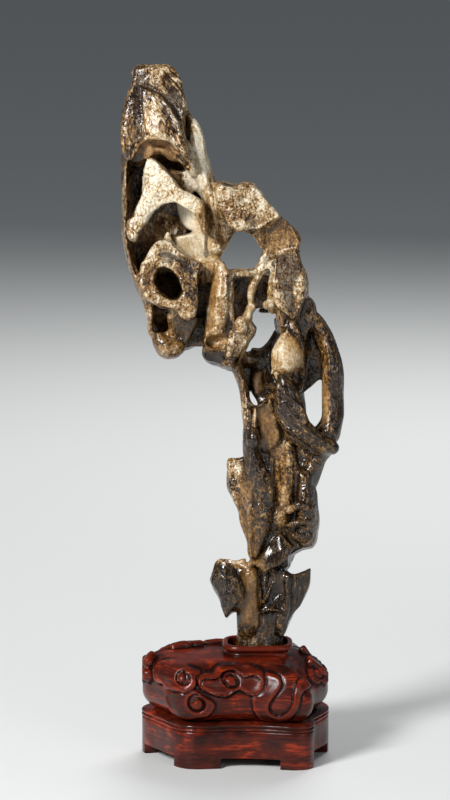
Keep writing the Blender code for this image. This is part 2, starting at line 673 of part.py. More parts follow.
def make_body(material):
    """The carved cushion with the collar that the stone stands in."""
    curve, distances, around = plan_curve()
    bm = bmesh.new()
    rings = []
    for height, inwards, left in catmull_rom(BODY_PROFILE, BODY_RING_STEPS):
        ring = []
        for point, distance in zip(curve, distances):
            to_middle = Vector(BODY_MIDDLE) - point
            moved = inwards - scroll_relief(distance, height, around)
            place = point + to_middle.normalized() * moved
            ring.append((place.x - left, place.y, height))
        rings.append(ring)
    skin_rings(bm, rings)
    body = new_object("stand_body", bm, material)
    add_thinning(body, BODY_RATIO)

    socket_section = [(SOCKET_FLOOR, 0.0), (COLLAR_TOP + CUTTER_REACH, 0.0)]
    add_boolean(body, turned_oval("collar", COLLAR_SECTION, COLLAR_HALF), "UNION")
    add_boolean(body, turned_oval("socket", socket_section, SOCKET_HALF))


def turned_oval(name, section, halves):
    """A helper solid of oval rings: section lists heights, and how far each ring is outside the halves."""
    turns = [2 * math.pi * side / OVAL_SIDES for side in range(OVAL_SIDES)]
    rings = []
    for height, outwards in section:
        across, deep = halves[0] + outwards, halves[1] + outwards
        rings.append([
            (COLLAR_CENTRE[0] + across * math.cos(turn), COLLAR_CENTRE[1] + deep * math.sin(turn), height)
            for turn in turns
        ])
    bm = bmesh.new()
    skin_rings(bm, rings)
    return as_cutter(new_object(name, bm))


def make_plinth(material):
    """The moulded base: a lobed slab with two beads, recessed below and cut away between six feet."""
    curve = catmull_rom(PLAN, PLAN_STEPS, closed=True)
    bm = bmesh.new()
    skin_rings(bm, [
        [(point.x, point.y, height) for point in inset(curve, inwards)]
        for height, inwards in PLINTH_SECTION
    ])
    plinth = new_object("stand_plinth", bm, material)

    bm = bmesh.new()
    inner = inset([Vector(point) for point in PLAN], APRON_THICKNESS)
    add_prism(bm, inner, -CUTTER_REACH, RECESS_HEIGHT)
    add_boolean(plinth, as_cutter(new_object("recess", bm)))
    for name, outline in BAYS.items():
        bm = bmesh.new()
        add_prism(bm, outline, -CUTTER_REACH, FOOT_HEIGHT)
        add_boolean(plinth, as_cutter(new_object("bay_" + name, bm)))


def main():
    for obj in list(bpy.data.objects):
        bpy.data.objects.remove(obj)
    stone = principled("stone", (0.24, 0.17, 0.10), 0.4)
    rosewood = principled("rosewood", (0.16, 0.03, 0.015), 0.25)
    make_rock(stone)
    make_body(rosewood)
    make_plinth(rosewood)


main()
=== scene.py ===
"""Dressed model of an upright scholar's rock in its carved rosewood stand.

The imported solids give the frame. Each of the three nodes is replaced here by a finer mesh of
the same form: the stone and the cushion are sculpted in a distance field and meshed, and the
plinth is built from its plan with beads that Geometry Nodes run round it. Sizes are in
millimetres in the classes and tables, and become metres when a mesh is made.

A table is text. Each entry is a heading, a colon and points, with spaces between numbers and
commas between points, and runs on over lines that start with a space.
"""

from __future__ import annotations

import logging
import math
from dataclasses import dataclass, field
from enum import Enum
from typing import Callable, Sequence

import bmesh
import bpy
import numpy as np
import openvdb
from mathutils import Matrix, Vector

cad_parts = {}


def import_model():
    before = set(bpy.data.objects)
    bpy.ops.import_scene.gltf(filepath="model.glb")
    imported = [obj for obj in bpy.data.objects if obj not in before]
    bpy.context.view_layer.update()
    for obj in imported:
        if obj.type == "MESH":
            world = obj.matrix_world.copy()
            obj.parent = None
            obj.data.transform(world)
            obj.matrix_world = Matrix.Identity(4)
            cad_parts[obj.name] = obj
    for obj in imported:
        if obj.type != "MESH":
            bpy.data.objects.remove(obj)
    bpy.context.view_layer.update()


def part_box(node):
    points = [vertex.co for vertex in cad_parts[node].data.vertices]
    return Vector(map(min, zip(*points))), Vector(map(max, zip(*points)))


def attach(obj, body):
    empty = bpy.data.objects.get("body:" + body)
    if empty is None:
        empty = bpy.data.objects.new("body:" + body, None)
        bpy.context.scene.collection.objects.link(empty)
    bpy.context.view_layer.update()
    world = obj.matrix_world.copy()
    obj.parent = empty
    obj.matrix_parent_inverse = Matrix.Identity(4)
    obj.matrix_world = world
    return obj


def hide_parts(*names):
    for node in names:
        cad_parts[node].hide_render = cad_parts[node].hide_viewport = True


LOG = logging.getLogger("scholars_rock")
MM = 0.001
EYE = (-5.5336, -3160.60269, 785.43121)
BLUR_LIMIT = 12.0
LOOKS = ("pale", "calm", "streak", "fleck", "skin")

Point = Sequence[float]
Rows = list[tuple[float, ...]]
Window = tuple[slice, slice, slice]
Part = tuple[Window, np.ndarray]


class Hand(Enum):
    """Which way a scroll of the carving winds in."""

    LEFT = -1
    RIGHT = 1


def rows_of(text: str) -> Rows:
    """The points of a table's text."""
    return [tuple(map(float, point.split())) for point in text.split(",")]


def entries_of(text: str) -> list[tuple[list[str], Rows]]:
    """A table's entries, each as the words of its heading and its points."""
    pairs = (line.split(":") for line in text.replace("\n ", " ").strip().splitlines())
    return [(heading.split(), rows_of(points)) for heading, points in pairs]


def smooth_curve(points: Sequence[Point], steps: int, closed: bool = False) -> np.ndarray:
    """Run a Catmull-Rom curve through points.

    Args:
        points: Rows of any width.
        steps: Samples for each span.
        closed: Whether the last point joins the first.

    Returns:
        The sampled rows.
    """
    rows = np.array(points, float)
    if len(rows) < 3:
        return rows
    if closed:
        run = np.vstack([rows[-1:], rows, rows[:2]])
    else:
        run = np.vstack([2 * rows[0] - rows[1], rows, 2 * rows[-1] - rows[-2]])
    share = (np.arange(steps) / steps)[None, :, None]
    a, b, c, d = (run[i:i + len(run) - 3, None, :] for i in range(4))
    curve = 0.5 * (
        2 * b + (c - a) * share + (2 * a - 5 * b + 4 * c - d) * share**2
        + (3 * b - a - 3 * c + d) * share**3
    )
    curve = curve.reshape(-1, rows.shape[1])
    return curve if closed else np.vstack([curve, rows[-1:]])


def soft_least(first: np.ndarray, second: np.ndarray, blend: float) -> np.ndarray:
    """The lesser of two fields, rounded where they are within blend of each other."""
    near = np.maximum(blend - np.abs(first - second), 0) / blend
    return np.minimum(first, second) - near * near * blend * 0.25


def soft_most(first: np.ndarray, second: np.ndarray, blend: float) -> np.ndarray:
    """The greater of two fields, rounded where they are within blend of each other."""
    return -soft_least(-first, -second, blend)


def ease(share: np.ndarray) -> np.ndarray:
    """Smooth a share that runs from 0 to 1."""
    return share * share * (3 - 2 * share)


def step_up(values: np.ndarray, low: float, high: float) -> np.ndarray:
    """Smooth step from 0 at low to 1 at high, which may be the lesser."""
    return ease(np.clip((values - low) / (high - low), 0, 1))


def distance_to(path: np.ndarray, across: np.ndarray, up: np.ndarray, closed: bool = False) -> np.ndarray:
    """Distance from a path over a grid of two axes.

    Args:
        path: Rows of two.
        across: The grid's places along its first axis.
        up: Its places along the second.
        closed: Whether the path is an outline, inside which the distance is less than 0.

    Returns:
        One distance for each place of the grid.
    """
    x, z = np.meshgrid(across, up, indexing="ij")
    nearest = np.full(x.shape, 1e9)
    inside = np.zeros(x.shape, bool)
    ends = np.roll(path, -1, 0)
    for (ax, az), (bx, bz) in zip(path if closed else path[:-1], ends):
        dx, dz = bx - ax, bz - az
        length = max(dx * dx + dz * dz, 1e-9)
        share = np.clip(((x - ax) * dx + (z - az) * dz) / length, 0, 1)
        nearest = np.minimum(nearest, (x - ax - share * dx) ** 2 + (z - az - share * dz) ** 2)
        if closed and az != bz:
            inside ^= ((az > z) != (bz > z)) & (x < dx * (z - az) / dz + ax)
    return np.where(inside, -1, 1) * np.sqrt(nearest)


def off_plane(places: np.ndarray, undo: bool = False) -> np.ndarray:
    """Move points whose x and z are as the eye sees them on y = 0 to where they are, or undo that."""
    share = 1 - places[:, 1:2] / EYE[1]
    middle = np.array([EYE[0], EYE[2]], places.dtype)
    flat = middle + (np.divide if undo else np.multiply)(places[:, ::2] - middle, share)
    return np.hstack([flat[:, :1], places[:, 1:2], flat[:, 1:]])


def blurred(values: np.ndarray, reach: int) -> np.ndarray:
    """Mean over a cube of 2 * reach + 1 cells, taken twice along each axis."""
    out = np.clip(values, -BLUR_LIMIT, BLUR_LIMIT).astype(np.float32)
    size = 2 * reach + 1
    for axis in (0, 0, 1, 1, 2, 2):
        wide = [(0, 0)] * 3
        wide[axis] = (reach + 1, reach)
        total = np.cumsum(np.pad(out, wide, mode="edge"), axis=axis, dtype=np.float64)
        last, first = np.split(total, [size], axis)[1], np.split(total, [-size], axis)[0]
        out = ((last - first) / size).astype(np.float32)
    return out


def mesh_points(mesh: bpy.types.Mesh) -> np.ndarray:
    """A mesh's points as rows."""
    points = np.empty(len(mesh.vertices) * 3, np.float32)
    mesh.vertices.foreach_get("co", points)
    return points.reshape(-1, 3)


def set_points(mesh: bpy.types.Mesh, points: np.ndarray) -> None:
    """Move a mesh's points."""
    mesh.vertices.foreach_set("co", points.astype(np.float32).ravel())
    mesh.update()


def add_attribute(mesh: bpy.types.Mesh, name: str, values: np.ndarray) -> None:
    """Give each point of a mesh a number."""
    mesh.attributes.new(name, "FLOAT", "POINT").data.foreach_set("value", values.astype(np.float32))


def linked(name: str, data: bpy.types.ID) -> bpy.types.Object:
    """A new object of the scene that holds a mesh, a light or a camera."""
    obj = bpy.data.objects.new(name, data)
    bpy.context.scene.collection.objects.link(obj)
    return obj


def keep_largest(mesh: bpy.types.Mesh) -> None:
    """Delete loose crumbs, and turn the faces out if they point in."""
    bm = bmesh.new()
    bm.from_mesh(mesh)
    bm.verts.ensure_lookup_table()
    unseen = set(range(len(bm.verts)))
    groups = []
    while unseen:
        group, front = [], [unseen.pop()]
        while front:
            index = front.pop()
            group.append(index)
            for edge in bm.verts[index].link_edges:
                other = edge.other_vert(bm.verts[index]).index
                if other in unseen:
                    unseen.remove(other)
                    front.append(other)
        groups.append(group)
    groups.sort(key=len)
    crumbs = [bm.verts[index] for group in groups[:-1] for index in group]
    bmesh.ops.delete(bm, geom=crumbs, context="VERTS")
    if bm.calc_volume(signed=True) < 0:
        bmesh.ops.reverse_faces(bm, faces=bm.faces)
    bm.to_mesh(mesh)
    bm.free()


def apply_modifiers(obj: bpy.types.Object) -> None:
    """Replace an object's mesh by what its modifiers make of it."""
    result = bpy.data.meshes.new_from_object(obj.evaluated_get(bpy.context.evaluated_depsgraph_get()))
    old, name = obj.data, obj.data.name
    obj.modifiers.clear()
    obj.data = result
    bpy.data.meshes.remove(old)
    result.name = name


def prism_of(name: str, rings: Sequence[tuple[np.ndarray, float]]) -> bpy.types.Object:
    """A closed solid through rings of as many points, each with its height."""
    bm = bmesh.new()
    loops = [[bm.verts.new((x * MM, y * MM, level * MM)) for x, y in ring] for ring, level in rings]
    for lower, upper in zip(loops, loops[1:]):
        for i in range(len(lower)):
            j = (i + 1) % len(lower)
            bm.faces.new((lower[i], lower[j], upper[j], upper[i]))
    bm.faces.new(loops[0][::-1])
    bm.faces.new(loops[-1])
    bmesh.ops.recalc_face_normals(bm, faces=bm.faces)
    mesh = bpy.data.meshes.new(name)
    bm.to_mesh(mesh)
    bm.free()
    return linked(name, mesh)


@dataclass(frozen=True)
class Slab:
    """A slab of stone: an outline in x and z swept along y between two depths.

    lean_x and lean_z are the depth gained for each unit from the outline's middle, round is
    the radius of the edges, and bulge is how much further out the faces lie than the edges.
    """

    outline: Rows
    front: float
    back: float
    lean_x: float
    lean_z: float
    round: float
    bulge: float


@dataclass(frozen=True)
class Mark:
    """A ridge, or a groove where height is less than 0, or a patch, worked into the front skin."""

    path: Rows
    width: float
    height: float
    patch: bool


@dataclass(frozen=True)
class Zone:
    """A region of the skin and how it looks: shares for the names in LOOKS."""

    centre: Point
    reach: Point
    looks: Point


def table_of(kind: Callable, text: str) -> dict[str, object]:
    """Read a table whose headings are a name and numbers.

    Args:
        kind: What makes an entry of its points and its heading's numbers.
        text: The table.

    Returns:
        The entries by name.
    """
    return {words[0]: kind(rows, *map(float, words[1:])) for words, rows in entries_of(text)}


class Clay:
    """A block of distances on a grid, less than 0 inside the form, that is added to and cut."""

    MARGIN = 8.0
    FAR = 60.0
    BULGE_RUN = 14.0
    MARK_REACH = 7.0
    LIMB_STEPS = 4
    OUTLINE_STEPS = 3
    PATH_STEPS = 4
    BAND = 4.0
    JITTER = 0.35
    CELL_REACH = 1.15
    FAR_CELL = 1.1
    SWELL_SPREAD = 0.34

    def __init__(self, low: Point, high: Point, voxel: float) -> None:
        """Start empty.

        Args:
            low: The block's least corner.
            high: Its greatest corner.
            voxel: The grid's pitch.
        """
        self.voxel = voxel
        self.low = np.array(low, float)
        counts = np.ceil((np.array(high, float) - self.low) / voxel).astype(int) + 1
        self.axes = [(self.low[i] + voxel * np.arange(counts[i])).astype(np.float32) for i in range(3)]
        self.distance, self.hollow = (np.full(counts, self.FAR, np.float32) for _ in range(2))

    def window(self, low: Point, high: Point) -> tuple[Window, tuple[np.ndarray, ...]]:
        """The part of the grid between two corners, and its axes shaped to broadcast."""
        cut = []
        for axis, origin, least, most in zip(self.axes, self.low, low, high):
            first = min(max(int(np.floor((least - origin) / self.voxel)), 0), len(axis) - 1)
            last = int(np.ceil((most - origin) / self.voxel)) + 1
            cut.append(slice(first, min(max(last, first + 1), len(axis))))
        return tuple(cut), np.ix_(*(axis[part] for axis, part in zip(self.axes, cut)))

    def add(self, part: Part, blend: float) -> None:
        """Join a part to the form."""
        cut, distance = part
        self.distance[cut] = soft_least(self.distance[cut], distance, blend)

    def cut(self, part: Part, blend: float) -> None:
        """Hollow the form with a part, and remember where."""
        cut, distance = part
        self.distance[cut] = soft_most(self.distance[cut], -distance, blend)
        self.hollow[cut] = np.minimum(self.hollow[cut], distance)

    def limb(self, stations: Rows, power: float = 2.0) -> Part:
        """A tube of oval section with rounded ends.

        Args:
            stations: Rows of x, y, z, half width and half depth.
            power: 2 for an oval section, more for a squarer one.

        Returns:
            The window that it fills and its distances.
        """
        rows = smooth_curve(stations, self.LIMB_STEPS)
        widest = rows[:, 3:5].max() + self.MARGIN
        window, _ = self.window(rows[:, :3].min(0) - widest, rows[:, :3].max(0) + widest)
        out = np.full(self.distance[window].shape, self.FAR, np.float32)
        for first, second in zip(rows[:-1], rows[1:]):
            along = second[:3] - first[:3]
            length = float(np.linalg.norm(along))
            along = along / length
            reach = max(first[3:5].max(), second[3:5].max()) + self.MARGIN
            low, high = np.minimum(first[:3], second[:3]), np.maximum(first[:3], second[:3])
            near, (x, y, z) = self.window(low - reach, high + reach)
            up = np.array([0.0, 1.0, 0.0] if abs(along[1]) < 0.85 else [0.0, 0.0, 1.0])
            deep = up - along * (up @ along)
            deep /= np.linalg.norm(deep)
            wide = np.cross(along, deep)
            px, py, pz = x - first[0], y - first[1], z - first[2]
            run, across, down = (px * way[0] + py * way[1] + pz * way[2] for way in (along, wide, deep))
            share = np.clip(run / length, 0, 1)
            half_wide, half_deep = (first[i] + (second[i] - first[i]) * share for i in (3, 4))
            cap = np.minimum(half_wide, half_deep)
            u, v = np.abs(across) / half_wide, np.abs(down) / half_deep
            w = np.abs(run - share * length) / cap
            size = np.maximum((u**power + v**power + w**power) ** (1 / power), 1e-3)
            less = power - 1
            slope = np.sqrt(
                (u**less / half_wide) ** 2 + (v**less / half_deep) ** 2 + (w**less / cap) ** 2
            ) / size**less
            distance = np.maximum((size - 1) / np.maximum(slope, 1e-3), -cap)
            place = tuple(slice(a.start - b.start, a.stop - b.start) for a, b in zip(near, window))
            out[place] = np.minimum(out[place], distance)
        return window, out

    def slab(self, slab: Slab, crispness: float = 1.0) -> Part:
        """A slab of the tables.

        Args:
            slab: The slab.
            crispness: What share of its edges' radius is kept.

        Returns:
            The window that it fills and its distances.
        """
        curve = smooth_curve(slab.outline, self.OUTLINE_STEPS, closed=True)
        middle = curve.mean(0)
        centre, half = (slab.front + slab.back) / 2, (slab.back - slab.front) / 2
        spread = np.ptp(curve, axis=0) / 2
        lean_x, lean_z, edge = slab.lean_x, slab.lean_z, slab.round * crispness
        reach = half + abs(lean_x) * spread[0] + abs(lean_z) * spread[1] + self.MARGIN + slab.bulge
        least, most = curve.min(0) - self.MARGIN, curve.max(0) + self.MARGIN
        low, high = (least[0], centre - reach, least[1]), (most[0], centre + reach, most[1])
        window, (x, y, z) = self.window(low, high)
        flat = distance_to(curve, x[:, 0, 0], z[0, 0, :], closed=True)[:, None, :]
        plane = centre + lean_x * (x - middle[0]) + lean_z * (z - middle[1])
        thick = half + slab.bulge * np.sqrt(np.clip(-flat / self.BULGE_RUN, 0, 1))
        deep = (np.abs(y - plane) - thick) / math.sqrt(1 + lean_x**2 + lean_z**2)
        a, b = flat + edge, deep + edge
        outside = np.sqrt(np.maximum(a, 0) ** 2 + np.maximum(b, 0) ** 2)
        return window, (outside + np.minimum(np.maximum(a, b), 0) - edge).astype(np.float32)

    def mark(self, mark: Mark) -> None:
        """Raise or sink the skin seen from the front along a path, or over a patch that it bounds."""
        curve = smooth_curve(mark.path, self.PATH_STEPS, mark.patch)
        margin = 2 * mark.width + 2
        least, most = curve.min(0) - margin, curve.max(0) + margin
        depths = self.axes[1]
        window, (x, y, z) = self.window((least[0], self.low[1], least[1]), (most[0], depths[-1], most[1]))
        form = self.distance[window]
        gap = distance_to(curve, x[:, 0, 0], z[0, 0, :], mark.patch)
        near = np.clip((0.5 if mark.patch else 1) - gap / mark.width, 0, 1)
        profile = (ease(near) * mark.height)[:, None, :]
        inside = form < 0
        skin = depths[window[1]][inside.argmax(1)]
        fade = np.clip((self.MARK_REACH - np.abs(y - skin[:, None, :])) / (0.5 * self.MARK_REACH), 0, 1)
        self.distance[window] = np.where(inside.any(1)[:, None, :], form - profile * fade, form)

    def swell(self, pitch: Point, seed: int) -> np.ndarray:
        """Smooth noise over the grid with zero mean and unit spread.

        Args:
            pitch: The distance between its lattice points along each axis.
            seed: The random seed.

        Returns:
            One value for each grid point.
        """
        random = np.random.default_rng(seed)
        weights = []
        for axis, step in zip(self.axes, pitch):
            place = (axis - axis[0]) / step + 1
            base = np.floor(place).astype(int)
            t = place - base
            table = np.zeros((len(axis), int(base.max()) + 3), np.float32)
            shares = (
                (1 - t) ** 3 / 6, (3 * t**3 - 6 * t**2 + 4) / 6,
                (-3 * t**3 + 3 * t**2 + 3 * t + 1) / 6, t**3 / 6,
            )
            for offset, share in zip(range(-1, 3), shares):
                table[np.arange(len(axis)), base + offset] += share
            weights.append(table)
        lattice = random.standard_normal([table.shape[1] for table in weights])
        out = np.tensordot(weights[0], lattice.astype(np.float32), (1, 0))
        out = np.einsum("bj,ajk->abk", weights[1], out, optimize=True)
        return np.einsum("ck,abk->abc", weights[2], out, optimize=True) / self.SWELL_SPREAD

    def scallops(self, pitch: Point, seed: int, band: float = 7.0) -> np.ndarray:
        """Distance to scattered points, in cells: 0 at a point and near 1 on the cells' borders.

        Args:
            pitch: The cells' size along each axis.
            seed: The random seed.
            band: How near the form's skin it is worked out.

        Returns:
            One value for each grid point.
        """
        random = np.random.default_rng(seed)
        out = np.full(self.distance.shape, self.FAR_CELL, np.float32)
        counts = [int((axis[-1] - axis[0]) / step) + 2 for axis, step in zip(self.axes, pitch)]
        size = np.array(pitch)
        for cell in np.ndindex(*counts):
            spot = self.low + size * (np.array(cell) + random.uniform(-self.JITTER, self.JITTER, 3))
            near, axes = self.window(spot - self.CELL_REACH * size, spot + self.CELL_REACH * size)
            part = self.distance[near]
            if part.min() <= band and part.max() >= -band:
                x, y, z = (((axis - at) / step) ** 2 for axis, at, step in zip(axes, spot, pitch))
                out[near] = np.minimum(out[near], np.sqrt(x + y + z))
        return out

    def sample(self, values: np.ndarray, places: np.ndarray) -> np.ndarray:
        """Read a grid at places, by linear interpolation."""
        spot = np.clip((places - self.low) / self.voxel, 0, np.array(values.shape) - 1.001)
        base = spot.astype(int)
        share = spot - base
        out = np.zeros(len(places))
        for corner in np.ndindex(2, 2, 2):
            x, y, z = (base + np.array(corner)).T
            out += np.prod(np.where(corner, share, 1 - share), axis=1) * values[x, y, z]
        return out

    def mesh(
        self, name: str, low: np.ndarray, high: np.ndarray, most: int,
        place: Callable[[np.ndarray], np.ndarray] | None = None,
    ) -> bpy.types.Object:
        """Mesh the form's skin.

        Args:
            name: The new object's name.
            low: The least corner that the skin may reach.
            high: The greatest corner.
            most: The most triangles it may have.
            place: Moves the points from the block to where they belong.

        Returns:
            The object, in metres, with its faces pointing out.
        """
        grid = openvdb.FloatGrid(self.FAR)
        grid.copyFromArray(np.clip(self.distance, -self.BAND, self.BAND))
        points, quads = grid.convertToQuads(0.0)
        points = points * self.voxel + self.low
        points = np.clip(place(points) if place else points, low, high)
        mesh = bpy.data.meshes.new(name)
        mesh.from_pydata((points * MM).tolist(), [], quads[:, ::-1].tolist())
        obj = linked(name, mesh)
        keep_largest(mesh)
        count = 2 * len(mesh.polygons)
        if count > most:
            obj.modifiers.new("Thin", "DECIMATE").ratio = most / count
            apply_modifiers(obj)
        obj.data.shade_smooth()
        return obj


def colour_of(code: str) -> tuple[float, float, float, float]:
    """Linear colour of a six-digit sRGB code."""
    parts = [int(code[i:i + 2], 16) / 255 for i in (0, 2, 4)]
    linear = [p / 12.92 if p <= 0.04045 else ((p + 0.055) / 1.055) ** 2.4 for p in parts]
    return (linear[0], linear[1], linear[2], 1.0)


class Shader:
    """Builds a material's nodes and joins them."""

    def __init__(self, name: str) -> None:
        """Start a material of that name with its Principled shader."""
        self.material = bpy.data.materials.new(name)
        self.material.use_nodes = True
        self.tree = self.material.node_tree
        self.surface = self.tree.nodes["Principled BSDF"]

    def add(self, kind: str, inputs: dict[str | int, object], out: str | int = 0, **settings: object):
        """Add a node.

        Args:
            kind: The node's type, without its prefix.
            inputs: Values, sockets or sRGB codes for its inputs, by name or number.
            out: Which output is wanted.
            **settings: Properties of the node.

        Returns:
            The output.
        """
        node = self.tree.nodes.new("ShaderNode" + kind)
        for name, value in settings.items():
            setattr(node, name, value)
        for name, value in inputs.items():
            self.feed(node.inputs[name], value)
        return node.outputs[out]

    def feed(self, socket: bpy.types.NodeSocket, value: object) -> None:
        """Give an input a value or a colour, or join it to an output."""
        if isinstance(value, bpy.types.NodeSocket):
            self.tree.links.new(value, socket)
        else:
            socket.default_value = colour_of(value) if isinstance(value, str) else value

    def position(self, scale: Point = (1.0, 1.0, 1.0)):
        """Object coordinates in metres, stretched."""
        return self.turned(self.add("TexCoord", {}, "Object"), scale)

    def turned(self, vector, scale: Point, turn_deg: float = 0.0):
        """A vector turned about the y axis and then stretched."""
        turn = (0.0, math.radians(turn_deg), 0.0)
        turned = self.add("Mapping", {"Vector": vector, "Rotation": turn})
        return self.add("Mapping", {"Vector": turned, "Scale": scale})

    def noise(self, vector, scale: float, detail: float = 4, rough: float = 0.55, bend: float = 0.0):
        """Fractal noise from 0 to 1."""
        settings = {"Scale": scale, "Detail": detail, "Roughness": rough, "Distortion": bend}
        return self.add("TexNoise", {"Vector": vector, **settings})

    def bent(self, vector, scale: float, reach: float):
        """A vector that noise has pushed about by up to half of the reach."""
        drift = self.add("TexNoise", {"Vector": vector, "Scale": scale, "Detail": 3.0}, "Color")
        moved = self.add("VectorMath", {0: drift, 1: (reach,) * 3}, operation="MULTIPLY")
        return self.add("VectorMath", {0: vector, 1: moved})

    def attribute(self, name: str):
        """A number kept on the mesh."""
        return self.add("Attribute", {}, "Fac", attribute_name=name)

    def calc(self, kind: str, first, second=0.0):
        """Arithmetic on two values."""
        return self.add("Math", {0: first, 1: second}, operation=kind)

    def plus(self, first, second):
        """The sum of two values."""
        return self.calc("ADD", first, second)

    def times(self, first, second):
        """The product of two values."""
        return self.calc("MULTIPLY", first, second)

    def off_half(self, value):
        """How far a value is from one half."""
        return self.calc("ABSOLUTE", self.plus(value, -0.5))

    def span(self, value, low: float, high: float, start: float = 0.0, end: float = 1.0):
        """Smooth step of a value between two limits."""
        inputs = {0: value, 1: low, 2: high, 3: start, 4: end}
        return self.add("MapRange", inputs, interpolation_type="SMOOTHSTEP")

    def lines(self, value, width: float):
        """1 where a value crosses one half, falling to 0 within a width."""
        return self.span(self.off_half(value), 0.0, width, 1.0, 0.0)

    def mix(self, share, first, second):
        """Mix two values."""
        return self.add("Mix", {0: share, 2: first, 3: second}, data_type="FLOAT")

    def blend(self, share, first, second):
        """Mix two colours."""
        return self.add("Mix", {0: share, 6: first, 7: second}, 2, data_type="RGBA")

    def ramp(self, value, stops: Sequence[tuple[float, str]]):
        """Colour along a run of stops, each a place and an sRGB code."""
        output = self.add("ValToRGB", {0: value})
        line = output.node.color_ramp.elements
        while len(line) < len(stops):
            line.new(0.5)
        for element, (place, code) in zip(line, stops):
            element.position, element.color = place, colour_of(code)
        return output

    def dress(self, colour, rough, height=None, depth: float = 0.0, strength: float = 1.0) -> None:
        """Join colour, roughness and relief to the surface.

        Args:
            colour: A colour, its sRGB code or a socket.
            rough: The roughness.
            height: The relief, if there is any.
            depth: How far the relief reaches, in metres.
            strength: The relief's share.
        """
        self.feed(self.surface.inputs["Base Color"], colour)
        self.feed(self.surface.inputs["Roughness"], rough)
        if height is not None:
            inputs = {"Height": height, "Distance": depth, "Strength": strength}
            self.feed(self.surface.inputs["Normal"], self.add("Bump", inputs))


